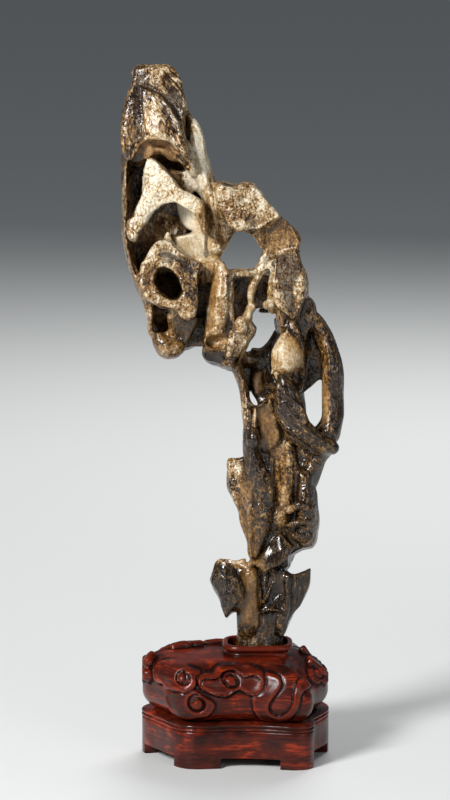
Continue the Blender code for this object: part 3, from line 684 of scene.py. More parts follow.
@dataclass(frozen=True)
class StoneFinish:
    """Polished dark limestone: cream and ochre skin over black, matt in the hollows, with painted shade in
    the hollows and creases and a painted highlight on the ridges.
    """

    tones: tuple[tuple[float, str], ...] = (
        (0.0, "0b0806"), (0.24, "1a120a"), (0.4, "3d2a11"), (0.52, "6c4a21"), (0.66, "936f3d"),
        (0.82, "ac9876"), (1.0, "d2c8b2"),
    )
    black: str = "0c0a08"
    brown: str = "3c2612"
    sand: str = "a0794a"
    shade: str = "1e120a"
    gloss: float = 0.18
    matt: float = 0.5
    broad_share: float = 1.3
    patch_share: float = 1.7
    fine_share: float = 2.9
    crease_share: float = 0.62
    lift: float = 0.22
    # How far up the tones the painted highlight on the ridges reaches.
    draw: float = 0.13
    slant_deg: float = -52.0
    relief: float = 0.0018

    def material(self) -> bpy.types.Material:
        """Build the material."""
        s = Shader("stone")
        names = ("pale", "calm", "streak", "fleck", "skin", "slant", "edge", "hollow")
        pale, calm, streak, fleck, skin, slant, edge, hollow = (s.attribute(name) for name in names)
        place = s.bent(s.position(), 110, 0.005)
        gently = s.bent(s.position(), 60, 0.007)

        def drawn(*noise: float):
            """Noise drawn out down the stone, or along its slant."""
            down = s.noise(s.turned(gently, (1.0, 1.0, self.draw)), *noise)
            aslant = s.noise(s.turned(gently, (self.draw, 1.0, 1.0), self.slant_deg), *noise)
            return s.mix(s.span(slant, 0.3, 0.7), down, aslant)

        patches = s.noise(place, 190, 5, 0.62, 1.4)
        grain = s.noise(place, 640, 4, 0.7)
        along = drawn(820, 4, 0.7, 0.3)
        layers = (
            (s.noise(place, 60, 4, 0.6, 0.5), self.broad_share),
            (patches, self.patch_share),
            (s.mix(s.span(streak, 0.0, 0.6, 0.45, 1.0), grain, along), self.fine_share),
        )
        rest = s.times(s.span(calm, 0.0, 1.0, 1.0, 0.22), s.span(pale, 0.05, 0.4, 0.6, 1.0))
        level = pale
        for layer, share in layers:
            level = s.plus(level, s.times(s.plus(layer, -0.5), s.times(rest, share)))
        colour = s.ramp(level, self.tones)

        thread = s.times(s.lines(drawn(360, 1, 0.5, 0.4), 0.04), s.span(patches, 0.38, 0.5))
        thread = s.times(thread, s.span(streak, 0.1, 0.8, 0.25, 0.9))
        colour = s.blend(thread, colour, s.blend(s.span(pale, 0.2, 0.6), self.sand, self.black))

        folds = s.noise(place, 150, 1, 0.5, 0.5)
        small = s.noise(place, 340, 1, 0.5, 0.6)
        creases = s.calc("MAXIMUM", s.lines(folds, 0.013), s.lines(s.mix(streak, small, along), 0.02))
        creases = s.times(creases, s.span(calm, 0.4, 1.0, 1.0, 0.2))
        colour = s.blend(s.times(creases, self.crease_share), colour, self.brown)

        blots = s.span(s.noise(place, 300, 4, 0.7, 1.0), 0.56, 0.62)
        blots = s.times(blots, s.times(fleck, s.span(calm, 0.3, 0.9, 1.0, 0.0)))
        colour = s.blend(s.times(blots, 0.8), colour, self.black)
        # Painted highlight: convex ridges, found from the edge attribute, take a lighter tone of the ramp.
        crest_highlight = s.times(s.span(edge, 0.12, 0.5), s.span(small, 0.4, 0.6))
        colour = s.blend(s.times(crest_highlight, 0.5), colour, s.ramp(s.plus(level, self.lift), self.tones))
        # Painted shade: concave creases and dents, found from the edge attribute, are darkened towards the
        # shade colour, except where the skin is calm.
        pit_shade = s.times(s.span(edge, -0.14, -0.6), s.span(calm, 0.05, 0.3, 1.0, 0.0))
        colour = s.blend(s.times(pit_shade, 0.8), colour, self.shade)

        # Painted shade: the walls of the cut hollows take a darker brown, turned to the shade colour in dark
        # zones. The skin share keeps it off outer faces and lit walls.
        inner = s.times(s.span(hollow, 2.0, 0.2), s.span(skin, 0.15, 0.5, 1.0, 0.0))
        inside = s.blend(s.span(patches, 0.36, 0.62), self.brown, self.sand)
        inside = s.blend(s.span(pale, 0.1, 0.5, 0.75, 0.0), inside, self.shade)
        colour = s.blend(s.times(inner, 0.85), colour, inside)

        rough = s.span(level, 0.1, 0.8, self.gloss, self.gloss + 0.16)
        rough = s.plus(rough, s.times(inner, self.matt - self.gloss))
        rough = s.plus(rough, s.span(patches, 0.35, 0.65, -0.04, 0.12))
        bumps = s.plus(s.times(s.off_half(folds), 1.1), s.times(s.off_half(small), 0.22))
        bumps = s.plus(bumps, s.times(grain, 0.015))
        bumps = s.plus(bumps, s.times(along, s.span(streak, 0.0, 1.0, 0.0, 0.05)))
        quiet = s.times(s.span(calm, 0.0, 1.0, 1.0, 0.25), s.span(inner, 0.0, 1.0, 1.0, 0.5))
        bumps = s.times(s.times(bumps, quiet), s.span(pale, 0.05, 0.45, 0.5, 1.0))
        s.dress(colour, rough, bumps, self.relief)
        return s.material


@dataclass(frozen=True)
class LacquerFinish:
    """Rosewood under a deep, clear polish, with painted shade in the carving's crevices and a painted
    highlight on its raised edges.
    """

    light: str = "8a2d12"
    middle: str = "481409"
    dark: str = "1e0a06"
    # The colour of the painted shade in the carving's crevices.
    crevice_shade: str = "0c0403"
    gloss: float = 0.16
    shine: float = 0.24
    relief: float = 0.0002

    def material(self) -> bpy.types.Material:
        """Build the material."""
        s = Shader("rosewood")
        figure = s.noise(s.position((1.0, 1.0, 3.4)), 26, 4, 0.6, 0.9)
        grain = s.noise(s.position((1.0, 1.0, 9.0)), 80, 5, 0.62, 0.3)
        pores = s.noise(s.position((1.0, 1.0, 8.0)), 420, 3, 0.6)
        edge = s.attribute("edge")
        tone = s.plus(s.times(figure, 0.6), s.times(grain, 0.4))
        colour = s.blend(s.span(tone, 0.36, 0.58), self.dark, self.middle)
        colour = s.blend(s.span(tone, 0.52, 0.66), colour, self.light)
        # Painted highlight: raised edges of the carving, found from the edge attribute, are lightened towards
        # the light wood tone.
        colour = s.blend(s.times(s.span(edge, 0.1, 0.5), 0.2), colour, self.light)
        colour = s.blend(s.span(pores, 0.62, 0.74, 0.0, 0.6), colour, self.dark)
        # Painted shade: concave crevices of the carving are darkened almost to black.
        colour = s.blend(s.times(s.span(edge, -0.1, -0.5), 0.85), colour, self.crevice_shade)
        s.surface.inputs["Specular IOR Level"].default_value = self.shine
        s.dress(colour, s.span(pores, 0.4, 0.7, self.gloss, self.gloss + 0.1), pores, self.relief, 0.4)
        return s.material


# The masses of the stone. A limb is stations of x, y, z, half width and half depth, and a slab is
# front, back, lean_x, lean_z, round and bulge, then its outline.
LIMBS = table_of(list, """
left_shell: -79.5 -2 502 6 23, -81.3 -2 484 5 25, -83.5 -2 464 4 27, -82.8 -2 443 3.4 28, -83.8 -2 420 3 27,
 -81 -2 404 2.9 26, -76.5 -2 388 3 24, -71 -4 374 3.4 22, -65.4 -5 362 3.2 20, -62.6 -7 348 2.6 17,
 -62 -8 338 3.4 15
shell_bump: -84.2 -10 465 4.2 9, -84 -8 457 4.2 9
strand: -30.4 -4 504 3.2 9, -29 -5 496 5.4 13, -28.2 -6 487 6.8 14, -23.6 -7 470 5.4 15,
 -19.5 -8 455 5.6 15, -15.5 -8 440 5.6 16, -14 -8 424 6 17, -14.5 -8 406 8 18
lower_bulb: -60.5 -10 344 3 12, -57 -10 331 6.5 14, -51 -9 326 9 14, -45 -6 327 7 13
central_lobe: -7 -12 386 6 14, -10 -18 364 8 14, -11 -20 342 9.5 14, -11 -18 324 9.5 13
bridge: -6 -12 384 4 10, 6 -15 386 3 9, 20 -15 387 3.4 9, 34 -12 395 6 11
strut_left: -3 -14 384 4 12, -2.5 -14 362 4 12, 0 -14 346 5 12
web_behind: -4 14 396 6 8, 14 20 380 8 6, 34 20 378 10 9, 46 14 372 8 10
hole_rim: 2 10 319 6 9, 14 12 317.5 6 9, 28 12 318 7 9
outer_loop: 54 2 354 7 13, 64 2 348 7 14, 72 0 338 8 15, 77 -1 324 9 15, 79 -2 306 9.2 15, 79 -2 288 9.3 14,
 78.6 -4 272 9.3 14, 76 -8 258 9.6 14
diagonal: 39.5 -25 303 5 9, 42 -27 295 8 11, 44.5 -29 281 12.4 12, 50 -29 268 12.2 12, 57.5 -27 257 11.6 12,
 67 -20 250 10 13, 73.5 -14 248 7 14
tail: 72.6 -8 247 8 15, 67 -6 238 8.8 15, 61 -4 223 9.4 16
stem_core: 26 14 322 12 10, 26 14 300 13 11, 30 9 276 17 16, 34 6 250 20 19, 36 4 222 21 19, 34 4 196 17 18,
 30 2 172 13 17, 26 2 150 15 16, 24 0 126 17 15, 22.5 -1 104 18.5 15, 22 -2 66 20 16
stem_left_ridge: 5 -2 310 3.6 11, 9.8 -8 294 3 9, 13 -13 276 3.8 8, 14.2 -15 262 4 8, 15 -16 246 5 9,
 17.5 -17 232 6 9, 20.5 -15 218 5 9, 21 -14 208 4 8, 25 -15 193 6 9, 25 -14 182 5 9
stem_right_column: 46 -8 248 6 9, 45.4 -9 229 8 10, 44.4 -9 212 9 10, 42.4 -9 197 8 10, 39.4 -11 187 6.4 8
right_lump: 58 -5 221 8 17, 58.5 -8 204 9.5 18, 59.5 -8 188 9.6 18, 57 -6 176 9 15
stem_back: 30 22 290 12 8, 36 26 252 14 8, 40 24 210 14 8, 30 18 168 12 8
foot_ledges: 34 -8 146 8 9, 34 -11 124 9 8, 31 -8 100 9 7
head_back_knob: -68 26 530 8 9, -62 34 512 10 8, -48 32 492 8 8
head_nose: -60 -22 516 5 6, -58.5 -29 506 7 6, -58.5 -33 496 6 5
back_rib_left: -60 34 516 7 7, -73 36 482 6 8, -70 42 448 6.5 7, -56 42 420 6.5 7, -66 38 392 7 8,
 -52 34 366 8 8, -44 26 342 7 8
back_rib_right: -34 30 500 6 8, -28 38 470 6.5 8, -40 44 444 6 7, -30 42 414 7 8, -34 38 388 8 8,
 -16 32 366 8 9, -8 24 340 8 9, 0 20 324 7 8
arch_rib: -12 26 432 8 9, 8 24 446 8 8, 30 26 430 8 9, 46 24 402 8 9, 38 30 374 8 8, 24 26 350 5 6,
 36 26 326 8 9, 50 22 306 8 8
stem_rib_left: 14 20 316 8 8, 22 28 288 6 7, 20 26 262 6 8, 30 29 236 7 8, 24 24 204 6 8, 32 22 174 7 8,
 24 17 146 7 7
stem_rib_right: 50 20 300 8 8, 52 26 266 7 8, 44 29 236 7 8, 56 22 206 7 9, 50 20 180 8 8, 38 18 152 7 8
""")
SLABS = table_of(Slab, """
head -26 28 0.05 0.12 5 0: -76 549, -77.6 545, -79.4 534, -82 524, -84 514, -85.4 498, -85 480, -72 470,
 -50 474, -36 464, -28.5 465, -31 477, -34.5 490, -36.5 505, -35 516, -37 525, -40 537, -44 544.5,
 -49 548.6, -62 549
head_crown 2 22 0 0.1 4 0: -75 551, -79 540, -62 534, -44 540, -48 550.6, -62 551.6
strand_root -7 12 0 0.1 3 0: -37 517, -33.4 509, -30 504, -26.5 500.5, -23.4 494, -22.6 482, -19 472,
 -26 468, -33 480, -37 495, -38 507
head_facet -35 -14 0.02 0.34 3 0: -72 533, -66 529, -56 523, -48 520, -43 516, -39 504, -36 490, -30 470,
 -38 474, -46 482, -58 488, -69 487, -69.5 506, -71.5 520
left_back_wall 12 32 0 0.1 8 0: -60 530, -84 500, -87 462, -86 430, -85 410, -80 388, -71 368, -66 350,
 -58 330, -46 323, -28 327, -18 340, -10 386, -6 400, -10 428, -14 456, -21 480, -27 500, -40 520
mask_root -20 14 0 0 5 0: -68 372, -72 384, -66 398, -50 402, -30 396, -14 408, -12 384, -26 372, -34 352,
 -54 360
bulb_web -6 18 0 0 5 0: -60 336, -52 320, -40 321, -36 326, -18 330, -16 350, -36 352, -50 342
central_slab -28 12 0.15 0.05 6 0: -12 388, -18.5 372, -20 352, -21.5 332, -22.5 320, -17 314, -9 313,
 -2 314, 2 330, 2 350, -1 376, -2 388
slot_back 10 22 0 0 5 0: -10 394, 12 387, 38 392, 42 358, 30 358, 16 357, 2 344, -10 346
loop_web 7 18 -0.1 0 4 0: 54 292, 56 346, 68 352, 80 334, 80 308, 74 298, 69 300, 60 292
golden_lobe -26 6 0.1 0.1 5 0: -2 351, 5 352, 13 350, 17 345.5, 19.8 342.5, 18.6 336, 14.5 331, 12 326,
 6 317, 1 310, -5 311, -10 318, -8 345
arch -18 20 0 -0.05 8 0: -14 452, -11 456.5, -6 457, 2 455.5, 16 456.5, 25 449, 36 433.5, 48 422, 53.4 412,
 52 402, 55 390, 58.5 380, 58.5 360, 46 350, 36 357, 32 376, 26 384, 18 388, 23 402, 19 411, 12 418.5,
 3 420, -6 406, -14 402, -20 420
arch_front -27 -8 0.1 -0.15 4 0: -12 454, 4 453, 17 454, 24 449, 31 440, 38 431, 30 426, 20 420, 8 420.5,
 0 423, -8 432
right_lobe -27 10 0.1 0.1 6 0: 28 394, 36 402, 50 405, 53.5 397, 58.5 380, 57 358, 49 347, 41 352, 34 360,
 32 376
right_mass -12 20 0 0 6 0: 34 350, 58 366, 66 356, 60 330, 58 300, 54 290, 40 292, 29 308, 30 326, 36 338
stem -12 18 0 0 7 0: 2 316, 8 298, 10 272, 9.8 252, 12 236, 14 215, 13 180, 13 158, 30 148, 45 150, 46 158,
 56 164.5, 66 168, 68 182, 66.5 200, 64.5 212, 70 230, 60 262, 54 290, 30 291, 24 281, 14 287
stem_cavern_back 10 26 0 0 6 0: 2 316, 8 296, 16 291, 24 284, 32 290, 44 300, 40 322, 14 322
""")

# What is hollowed out before the inner forms go in.
CAVERN_LIMBS = table_of(list, """
under_brow: -58 -14 469 12 9, -48 2 471 17 10, -44 12 470 12 8
left_pocket: -76 -30 452 5 9, -74 -10 450 8 12
mask_pocket: -76 -34 398 4 9, -70 -14 404 9 12, -60 2 410 12 13
under_tongue: -44 -30 424 14 11, -46 -8 424 16 12, -50 6 422 14 11
stem_cavern: 15 -24 312 9 9, 17 -8 310 11 12, 20 -8 296 7 9
beside_knee: 36 -22 346 4 7, 33 -20 336 4 9, 26 -16 322 5 10
loop_hollow: 68 -14 320 4.6 9, 65.5 -10 310 6 12, 64 -12 301 4.5 9
lower_left: -57 -40 349 6 6, -57 4 349 5.4 6
stem_channel: 34 -30 250 2 8, 33 -30 238 3.2 10, 34 -29 222 3.2 10, 34.5 -28 208 2.4 9, 36 -28 200 1.4 6
""")
CAVERN_SLABS = table_of(Slab, """
mouth -60 -22 0 0 1 0: -70 489, -60 491.5, -50 489, -45 485, -38 478, -30 467, -25.5 455, -22 441,
 -20.5 428, -21.5 412, -24 398, -40 396, -60 396, -74.5 383, -79.5 394, -82 405, -82.6 420, -81.2 432,
 -80.6 445, -80.6 462, -79 472, -74 482
throat -40 5 0 0 9 0: -70 474, -61 480, -50 480, -40 474, -31 464, -27 452, -24 440, -22.5 428, -24 414,
 -27 404, -40 400, -60 400, -73 388, -78 396, -80.6 406, -80.8 420, -79 445, -78 462
""")

# Forms inside the hollows, and crisp ones in front of the masses.
INNER_LIMBS = table_of(list, """
brow_ledge: -61 -19 484 2 6, -53 -19 482.5 2.6 7, -45 -17 478 2.2 6
tongue_tip: -80 -36 424 3.4 7, -79 -35 416 3 5
peak: -50.4 -24 420.4 1 1.6, -50.2 -23 415 4.4 4.6, -50 -20 406 7 7
strand_ridge: -23 -22 413 1.2 3, -22.4 -24 405 1.4 3.4, -23.6 -24 397 1.4 3
bulb_rim: -66 -14 358 1.6 6, -64.8 -14 348 1.5 6, -64.4 -12 338 2 7
bulb_face: -58 -16 331 6 9, -52 -16 327 7.4 10
strut_middle: 22 -17 384 1.8 5, 17.4 -18 377 2 6, 15.2 -18 367 2.2 6, 14.6 -17 357 2.2 7, 13 -16 350 3.4 8
strut_right: 32 -14 384 4 8, 31.6 -15 372 4.4 8, 31.6 -14 362 5 8, 31 -12 355 4 8
hole_cheek: 38 -10 366 6 11, 39 -9 356 6.4 11, 39.6 -8 346 5 11
loop_heel: 74 -6 273 3 8, 70.4 -9 265 4.6 8, 64.6 -12 260 5 8
slot_rim: 12 -14 355 3 7, 19 -16 360 4.2 9, 31 -15 360 4.8 9
golden_knob: 8.5 -22 345 4 6, 9 -24 341 4.6 6
black_knob: 17 -23 259 4 6, 17.4 -25 252.6 5 7, 17.6 -24 248 3.6 6
stalk: 18.4 -20 278 1.5 4, 18 -22 269 1.2 4, 17.6 -23 261 1.5 4
slit_rim: 30 -20 312 1.6 4, 28.4 -21 302 1.4 4, 28 -21 292 1.4 4, 26 -20 284 1.5 4, 20.5 -19 279.6 1.6 4,
 15.5 -18 281.6 1.6 4, 12.6 -16 286 1.5 4
knee: 47 -12 344 6 8, 46 -16 334 10 10, 43.6 -18 322 14.4 12, 42.4 -18 313.6 12 11
knee_foot: 34 -19 312 4 6, 31.6 -19 306 2.6 5
grey_column: 21 6 304 6 6, 21 4 290 6 6
shoulder_upper: 46 -20 196 3 5, 52 -23 200 4.2 6, 59 -22 198 4.6 7, 63 -18 192 4 7
shoulder_lower: 45 -21 184 2.6 5, 52 -24 186 3.4 6, 60 -23 187 3.4 6
shoulder_foot: 49 -19 175 4.6 6, 60 -17 175 5.4 7
leaf: 14 -15 196 3.2 3.6, 15.4 -16 184 3.6 4, 14.6 -15 170 2.6 4, 15 -14 160 2 4
ankle_cap: 5 -13 152 3.4 6, 11 -15 150.6 4 6, 16.5 -14 153 3.4 6
ankle_knob: 13.6 -15 144 8.4 9, 14 -14 132 9.6 10, 14 -11 116 10 11, 13 -9 100 9.6 11
shaft: 15.6 -15 126 7.2 7, 15.4 -13 104 8 7
right_bulge: 44.4 -14 141 5.2 7, 44.4 -15 122 4.6 7, 41 -12 106 4 6
ledge_upper: 24 -19 147 1.8 3, 30 -21 148.6 2.2 4, 36 -19 146 1.8 3
ledge_middle: 26 -19 122 1.6 3, 29.4 -21 130 2 4, 32.6 -20 137 1.6 3
ledge_side: 33 -19 118 1.6 3, 36.4 -20 124 2 4, 40 -18 128 1.6 3
ledge_lower: 23 -18 113 2 3, 30 -21 115.4 2.4 4, 38 -20 114.6 2.2 4, 42 -17 112 1.6 3
""")
INNER_SLABS = table_of(Slab, """
tongue -40 -25 0.06 0.2 3 2: -68.5 471.5, -66 475.5, -62 476, -59 474, -56 471, -51 465, -46 459, -40 452,
 -33 449, -27 445, -22.6 440, -20.6 432, -19.5 424, -20 417, -23 417, -27 426, -30 431, -35 435, -41 439,
 -45 441, -50 440, -55 438, -62 432, -68 424, -73 418, -77 411, -82 414, -84 420, -83 428, -79 431, -76 438,
 -73 445, -71 452, -70 464
tongue_root -30 10 0.1 0.2 4 0: -66 466, -60 470, -46 454, -36 445, -24 438, -24 428, -36 440, -48 445,
 -62 438
tan_wall -8 12 0 -0.2 3 0: -50 465, -42 464.5, -31 465, -26 458, -24.5 449, -29 452, -36 446, -47 454
patch_wall -16 10 -0.7 0 5 0: -42 444, -33 446, -22 438, -22 424, -28 419.5, -34 420, -39 425, -42 433
scoop -21 -4 -0.25 -0.35 3 0: -47 413.6, -42 416.6, -34 418, -27 420, -22 423, -20.6 410, -21.4 394,
 -27 390, -36 396, -43 404
jaw -17 2 -0.4 -0.3 4 0: -50 352, -44 357, -34 354, -27 350, -30 340, -38 326, -46 321, -50 330, -49 341
stem_front -20 0 0 0 5 4: 10.4 256, 14 247, 21 238, 28 228, 33 216, 33.4 202, 30.4 188, 27 174, 22.4 160,
 17.6 157, 17.4 170, 18.4 186, 16.4 204, 12.6 218, 10.4 236
mask -42 -17 0.05 0.12 4 2: -50 413.5, -57 413, -62 409.5, -66 403, -69 395, -71 388, -73 378, -70 371,
 -69 366, -62 361, -55 358, -45 356, -40 351, -34 349, -29 352, -27.5 360, -26 375, -25 385, -24 393,
 -30 398, -36 403, -42 408.5, -46 412.5
panel -18 0 -0.1 -0.1 3 0: 19.5 278, 27 284, 31 289, 33 280, 37 266, 38 255, 33 247, 27 243, 22 246, 21 262
flake -14 1 -0.1 0.05 3 2: 13 240, 11 238.6, 5.3 237.4, -2 236.8, -3 230, -3.5 217, -1.6 211, 2.1 203,
 4.7 195.5, 5.9 185.3, 9.1 177.6, 11.6 170, 12.6 160, 17 157, 19.4 170, 19.8 182, 18 200, 17 212, 14 226
spike_left -18 3 -0.2 0.1 4 0: 12 157, 3.6 156.8, -3.4 159.4, -9.6 159, -13.6 155.6, -15.4 149.4, -18 141,
 -17.9 138.4, -13.8 130.5, -9.2 123.4, -6.9 116.4, -4.6 108.4, -1.6 111.7, 0.7 113.4, 3.4 114.4, 8 120,
 8 140
diamond -27 -10 -0.3 0.1 2 4: -9.4 157, -13 149, -16.9 139.4, -12 130, -8 121, -4.6 109.6, 0 114, 4 120,
 7 126, 6.6 134, 4.4 142, 1 149, -4 154
spike_right -15 9 0.2 0 4 2: 38 152, 43.8 146.5, 48.7 145, 55.6 147, 62.4 150, 63.6 147.6, 63 138.8,
 61.4 131.7, 58 124.6, 51 114, 46.4 105.8, 43.5 96.4, 38 92, 34 110, 32 135
chevron -24 -5 0 0.35 1.6 3: 38.3 177.4, 44 172, 50 166.8, 46.5 160, 40 153, 33 148, 25 146.5, 18.4 152.6,
 22 158, 26 163, 32 170
""")

# Hollows and holes through the finished form.
HOLLOW_LIMBS = table_of(list, """
stem_gap: 37 -23 248 2 8, 35.6 -22 237 3.2 10, 34.4 -21 220 2.4 10, 34 -20 204 1.6 8
mask_inside: -51 -10 376 9.6 10, -51 2 376 10 10
gap_under_mask: -29 -34 347 3 5
slot_beside_mask: -22.6 -34 400 2 8, -22.6 -24 376 2.6 10, -23 -22 352 3 10
head_slot: -35.8 -26 513 1.6 12, -35.6 -22 501 2.3 15, -34.6 -20 491 1.6 13
head_slot_deep: -35.8 -6 512 1.6 12, -35.4 -4 500 2.3 12
lobe_pit: -17 -31 331 4.2 7, -12 -30 331 5.6 8, -6.8 -31 334 3.8 6
knee_hole: 53.5 -38 303 4.2 6, 52.5 -10 303.4 4.4 6
flake_scoop: 7 -24 224 3 6, 10.4 -23 212 4.6 8, 11.8 -22 201 4.2 6
back_head: -48 48 516 7 8, -52 40 500 6 6
back_high: -50 50 468 10 14, -52 38 464 9 12
back_middle: -48 50 398 7 9, -46 38 400 7 9
back_side: -18 42 404 6 10, -16 30 404 6 9
back_low: -34 46 358 7 8, -32 34 356 7 8
back_arch: 24 44 404 8 10, 26 28 404 7 9
back_arch_low: 54 40 350 6 12, 52 26 348 5 10
back_stem_high: 36 46 280 7 13, 36 30 276 6 10
back_stem_middle: 38 46 206 6 14, 38 30 206 5 11
back_stem_side: 14 36 236 5 10, 14 26 232 4 8
back_foot: 14 26 190 5 10, 12 20 172 5 8
back_ankle: 30 25 130 5 9, 28 21 116 5 7
""")
HOLLOW_SLABS = table_of(Slab, """
eye -60 -8 0 0 1 0: -58 387.5, -53.4 388.6, -47.4 385, -42.4 378.6, -39.8 370.6, -42.4 365.4, -48 365,
 -55 369.6, -59.6 378.6
arch_hole -60 60 0 0 1 0: 4 419.6, 10 419.4, 14.5 416, 19.5 410, 22.4 403, 21 396, 18 390, 14 389.4, 6 389,
 -1 386.6, -5 387.5, -8.2 393, -8.4 400, -5 407, -1 410.4, 1 414
slot_left -60 4 0 0 1 0: 2 377, 6 379, 8.4 378, 8 370, 9.6 362, 11 357, 9 353, 5 350, 2 346, 1 352, 0.6 364
slot_right -60 6 0 0 1 0: 20.6 373, 25 378, 27 376, 26 369, 24 362, 23.6 357, 20 356, 18.4 362, 18.8 368
second_hole -60 60 0 0 1 0: 17.6 353.6, 25.4 353.8, 30.3 351.4, 34.2 345, 32.5 337, 28.7 330.4, 23.1 325.8,
 18.7 326, 14 329.6, 18.4 336, 19.7 341.5, 18.6 344, 17.2 346, 16.8 350
loop_hole -60 60 0 0 1 0: 65 295, 67.4 292.4, 68.2 286, 68 277, 66.2 271, 63.6 268.4, 62.4 269.4,
 61.2 274.6, 59 283, 59.2 287.4, 61.8 292
under_shell -60 2 0 0 1 0: -62.6 360, -58 358, -53 352, -50 347, -50 341.4, -53 339, -59.6 339, -62.6 342
slit -60 60 0 0 1 0: 13.6 288.2, 15 289.6, 17.6 287, 19.8 283, 20 281, 17.6 280.8, 14.6 284
""")

# Ridges, grooves and a patch of the skin: width and height, then the path in x and z.
MARKS = [Mark(path, float(words[0]), float(words[1]), "patch" in words) for words, path in entries_of("""
2.2 1.8: -72.4 535, -66.6 529.4, -60 526.2, -52 519.5, -46 510, -41 498
2 -1.8: -66 533.6, -60 530, -52.3 525.2, -45 517, -41 508
2.2 -1.8: -72.6 537, -72 522, -70.2 511, -67 500
2.4 -0.9: -44 516, -40 502, -37 488, -32 474
2.4 1.2: -68 489.5, -60 492.5, -51 490.5, -45 486.5, -37 477, -30 467.5
4 0.8: -60 520, -57 508, -57.5 497, -59.5 492
1.7 1.1: -27.5 503, -23.4 494, -21.8 482, -17.6 468, -13.2 452, -11.2 436
1.6 -0.7: -31 494, -28 478, -23.6 462, -19.4 446, -17 430
1.8 1: -16 424, -13 414, -8 404
1.7 1: -60 474.4, -56.5 471, -51 464.6, -46 458.6, -40 451.6, -33 448.6, -27 444.6, -23 439.6
1.7 1: -69 467, -70.4 452, -74 441, -80 430
1.7 0.8: -76 412, -68 424.6, -62 432.4, -55 438.4, -48 441, -41 439.4, -35 435.4, -29 429
1.5 -0.5: -62 470, -58 462, -52 458, -46 450
1.5 -0.5: -68 456, -60 452, -54 446, -44 444
1.5 -0.5: -66 444, -60 440, -66 432, -74 426
2 1.2: -63 408.4, -57 411.6, -50 412, -45 410.6, -38 402.6, -32 397, -26 392
1.8 -0.8: -66 398, -58 400, -48 400, -38 393, -30 386
2.2 0.9: -58 391, -51 391.4, -44 386.6, -39 379, -37 371, -42 363.6, -50 364, -59 371, -62.6 382, -58 391
1.9 0.8: -71 377, -64 375, -58 368, -48 361, -38 356
1.7 -0.8: -40 356, -30 361, -28 374
1.8 -0.8: -52 324, -46 331, -40 337
2 0.9: -19.5 372, -20.4 350, -22 332, -22 320
1.8 1.1: -20 338, -13 341.4, -6 336, -5 329, -9 324.6, -17 324.6, -21 330, -20 338
1.8 1.2: -4 386, -4.4 372, -5 356, -8 342
1.8 -1.2: 0 348, -4 338, -4 326
1.8 1: -10 455.6, 0 453.6, 9 455, 16 454.6, 24 448.4
1.8 0.9: 17 454, 15 446, 9 440, -4 436
1.9 1.5: 19 420.4, 26 423.6, 33 428.6, 39 431
4.5 -2.2 patch: 27 420.6, 33 424.4, 40 426.4, 46 421, 50 411, 48 405.6, 41 402.6, 33 399, 26 394, 24 402,
 25 412
1.6 1.2: 39 430, 46 422.6, 51 413, 50.6 406
1.8 1.5: -3 386.6, 6 388.8, 18 390, 27 394.6, 37 401.2, 50 404.6
1.8 1.1: 35 400, 35 390, 33 380, 30 366
1.5 -0.8: 38 384, 44 380, 50 383
1.7 1.1: 37 366, 43 362, 50 356, 54 348
1.5 -0.8: 40 372, 47 368, 54 360
1.9 1.2: 40 357, 46 350, 53 340, 58 332, 61 322
1.5 -1: 44 344, 50 336, 55 328
2.2 1.2: 58 352, 62 342, 66 334, 68 326
1.7 -1: 64 350, 70 340, 74 330
2.4 0.9: 70 348, 78 338, 83 324, 84.6 304, 84.4 284, 82 266
1.8 -0.8: 74 322, 75.6 306, 76 288, 75.6 274
1.7 1.4: 35.4 302, 35.6 294, 35.6 282, 36 272, 41 264, 48 257
1.7 -1.2: 39 292, 39.6 280, 42 270
1.5 1: 41 290, 47 287, 54 280, 58 272
1.5 -0.9: 40 276, 46 272, 50 264
1.5 1.2: 42 262, 52 257, 62 249, 74 244
1.7 -1.2: 46 257.6, 55 251, 66 243
1.6 0.9: 52 268, 62 260, 72 252, 80 249
1.6 1: 56 244, 64 236, 70 232
1.6 -1: 60 238, 66 228
1.6 1: 12 270, 12 256, 13 244, 17 236
1.7 -1.1: 18 236, 16 228, 20 218, 19 208
1.6 1: 22 242, 26 232, 24 222, 27 212
1.6 1: 20 200, 24 192, 22 184, 27 178
1.8 1: 30 252, 31 240, 30 224, 31 206, 34 194
1.9 -1.1: 49 236, 50 222, 49.5 206, 46 196
1.8 0.9: 53 232, 55 220, 54 208
1.8 0.9: 61 226, 60 214, 63 206
1.5 1.2: 9 237, 1 235.4, -1.8 232, -2.2 218, 1 209, 5.4 199
1.4 1: 6 226, 6.4 214, 8.6 204, 12 196, 16 196
1.4 1.1: 18 202, 19.4 186, 18.6 172, 17.6 160
1.4 -0.8: 10 190, 12 178, 14 166
1.5 1.5: 18.8 153.4, 25.6 162.6, 32 170, 38 176.4, 44 171, 49.4 167
1.5 0.9: 38 174, 40 164, 41 156
1.5 -1.1: 20 150, 30 148, 40 152
1.3 0.9: -9.6 156.6, -13 149, -16.6 139.6, -9 124, -5 110
1.3 1: -9 156.4, -3.6 153.6, 1.2 148.6, 4.6 141.6, 6.6 133, 7 126
1.3 -1: 4.4 151.6, 8 147.8, 13 146.8, 17.4 150
1.7 -1.3: 21.4 146, 21 132, 22 118, 23 102
1.4 0.7: 7 124, 7.4 112, 8 98
1.5 1.2: 62 148, 56 143, 52 138, 50 130
1.6 -0.9: 52 126, 48 116, 43 104
1.5 0.9: 26 108, 29 100, 33 94
1.5 0.9: 37 110, 38 100
""")]

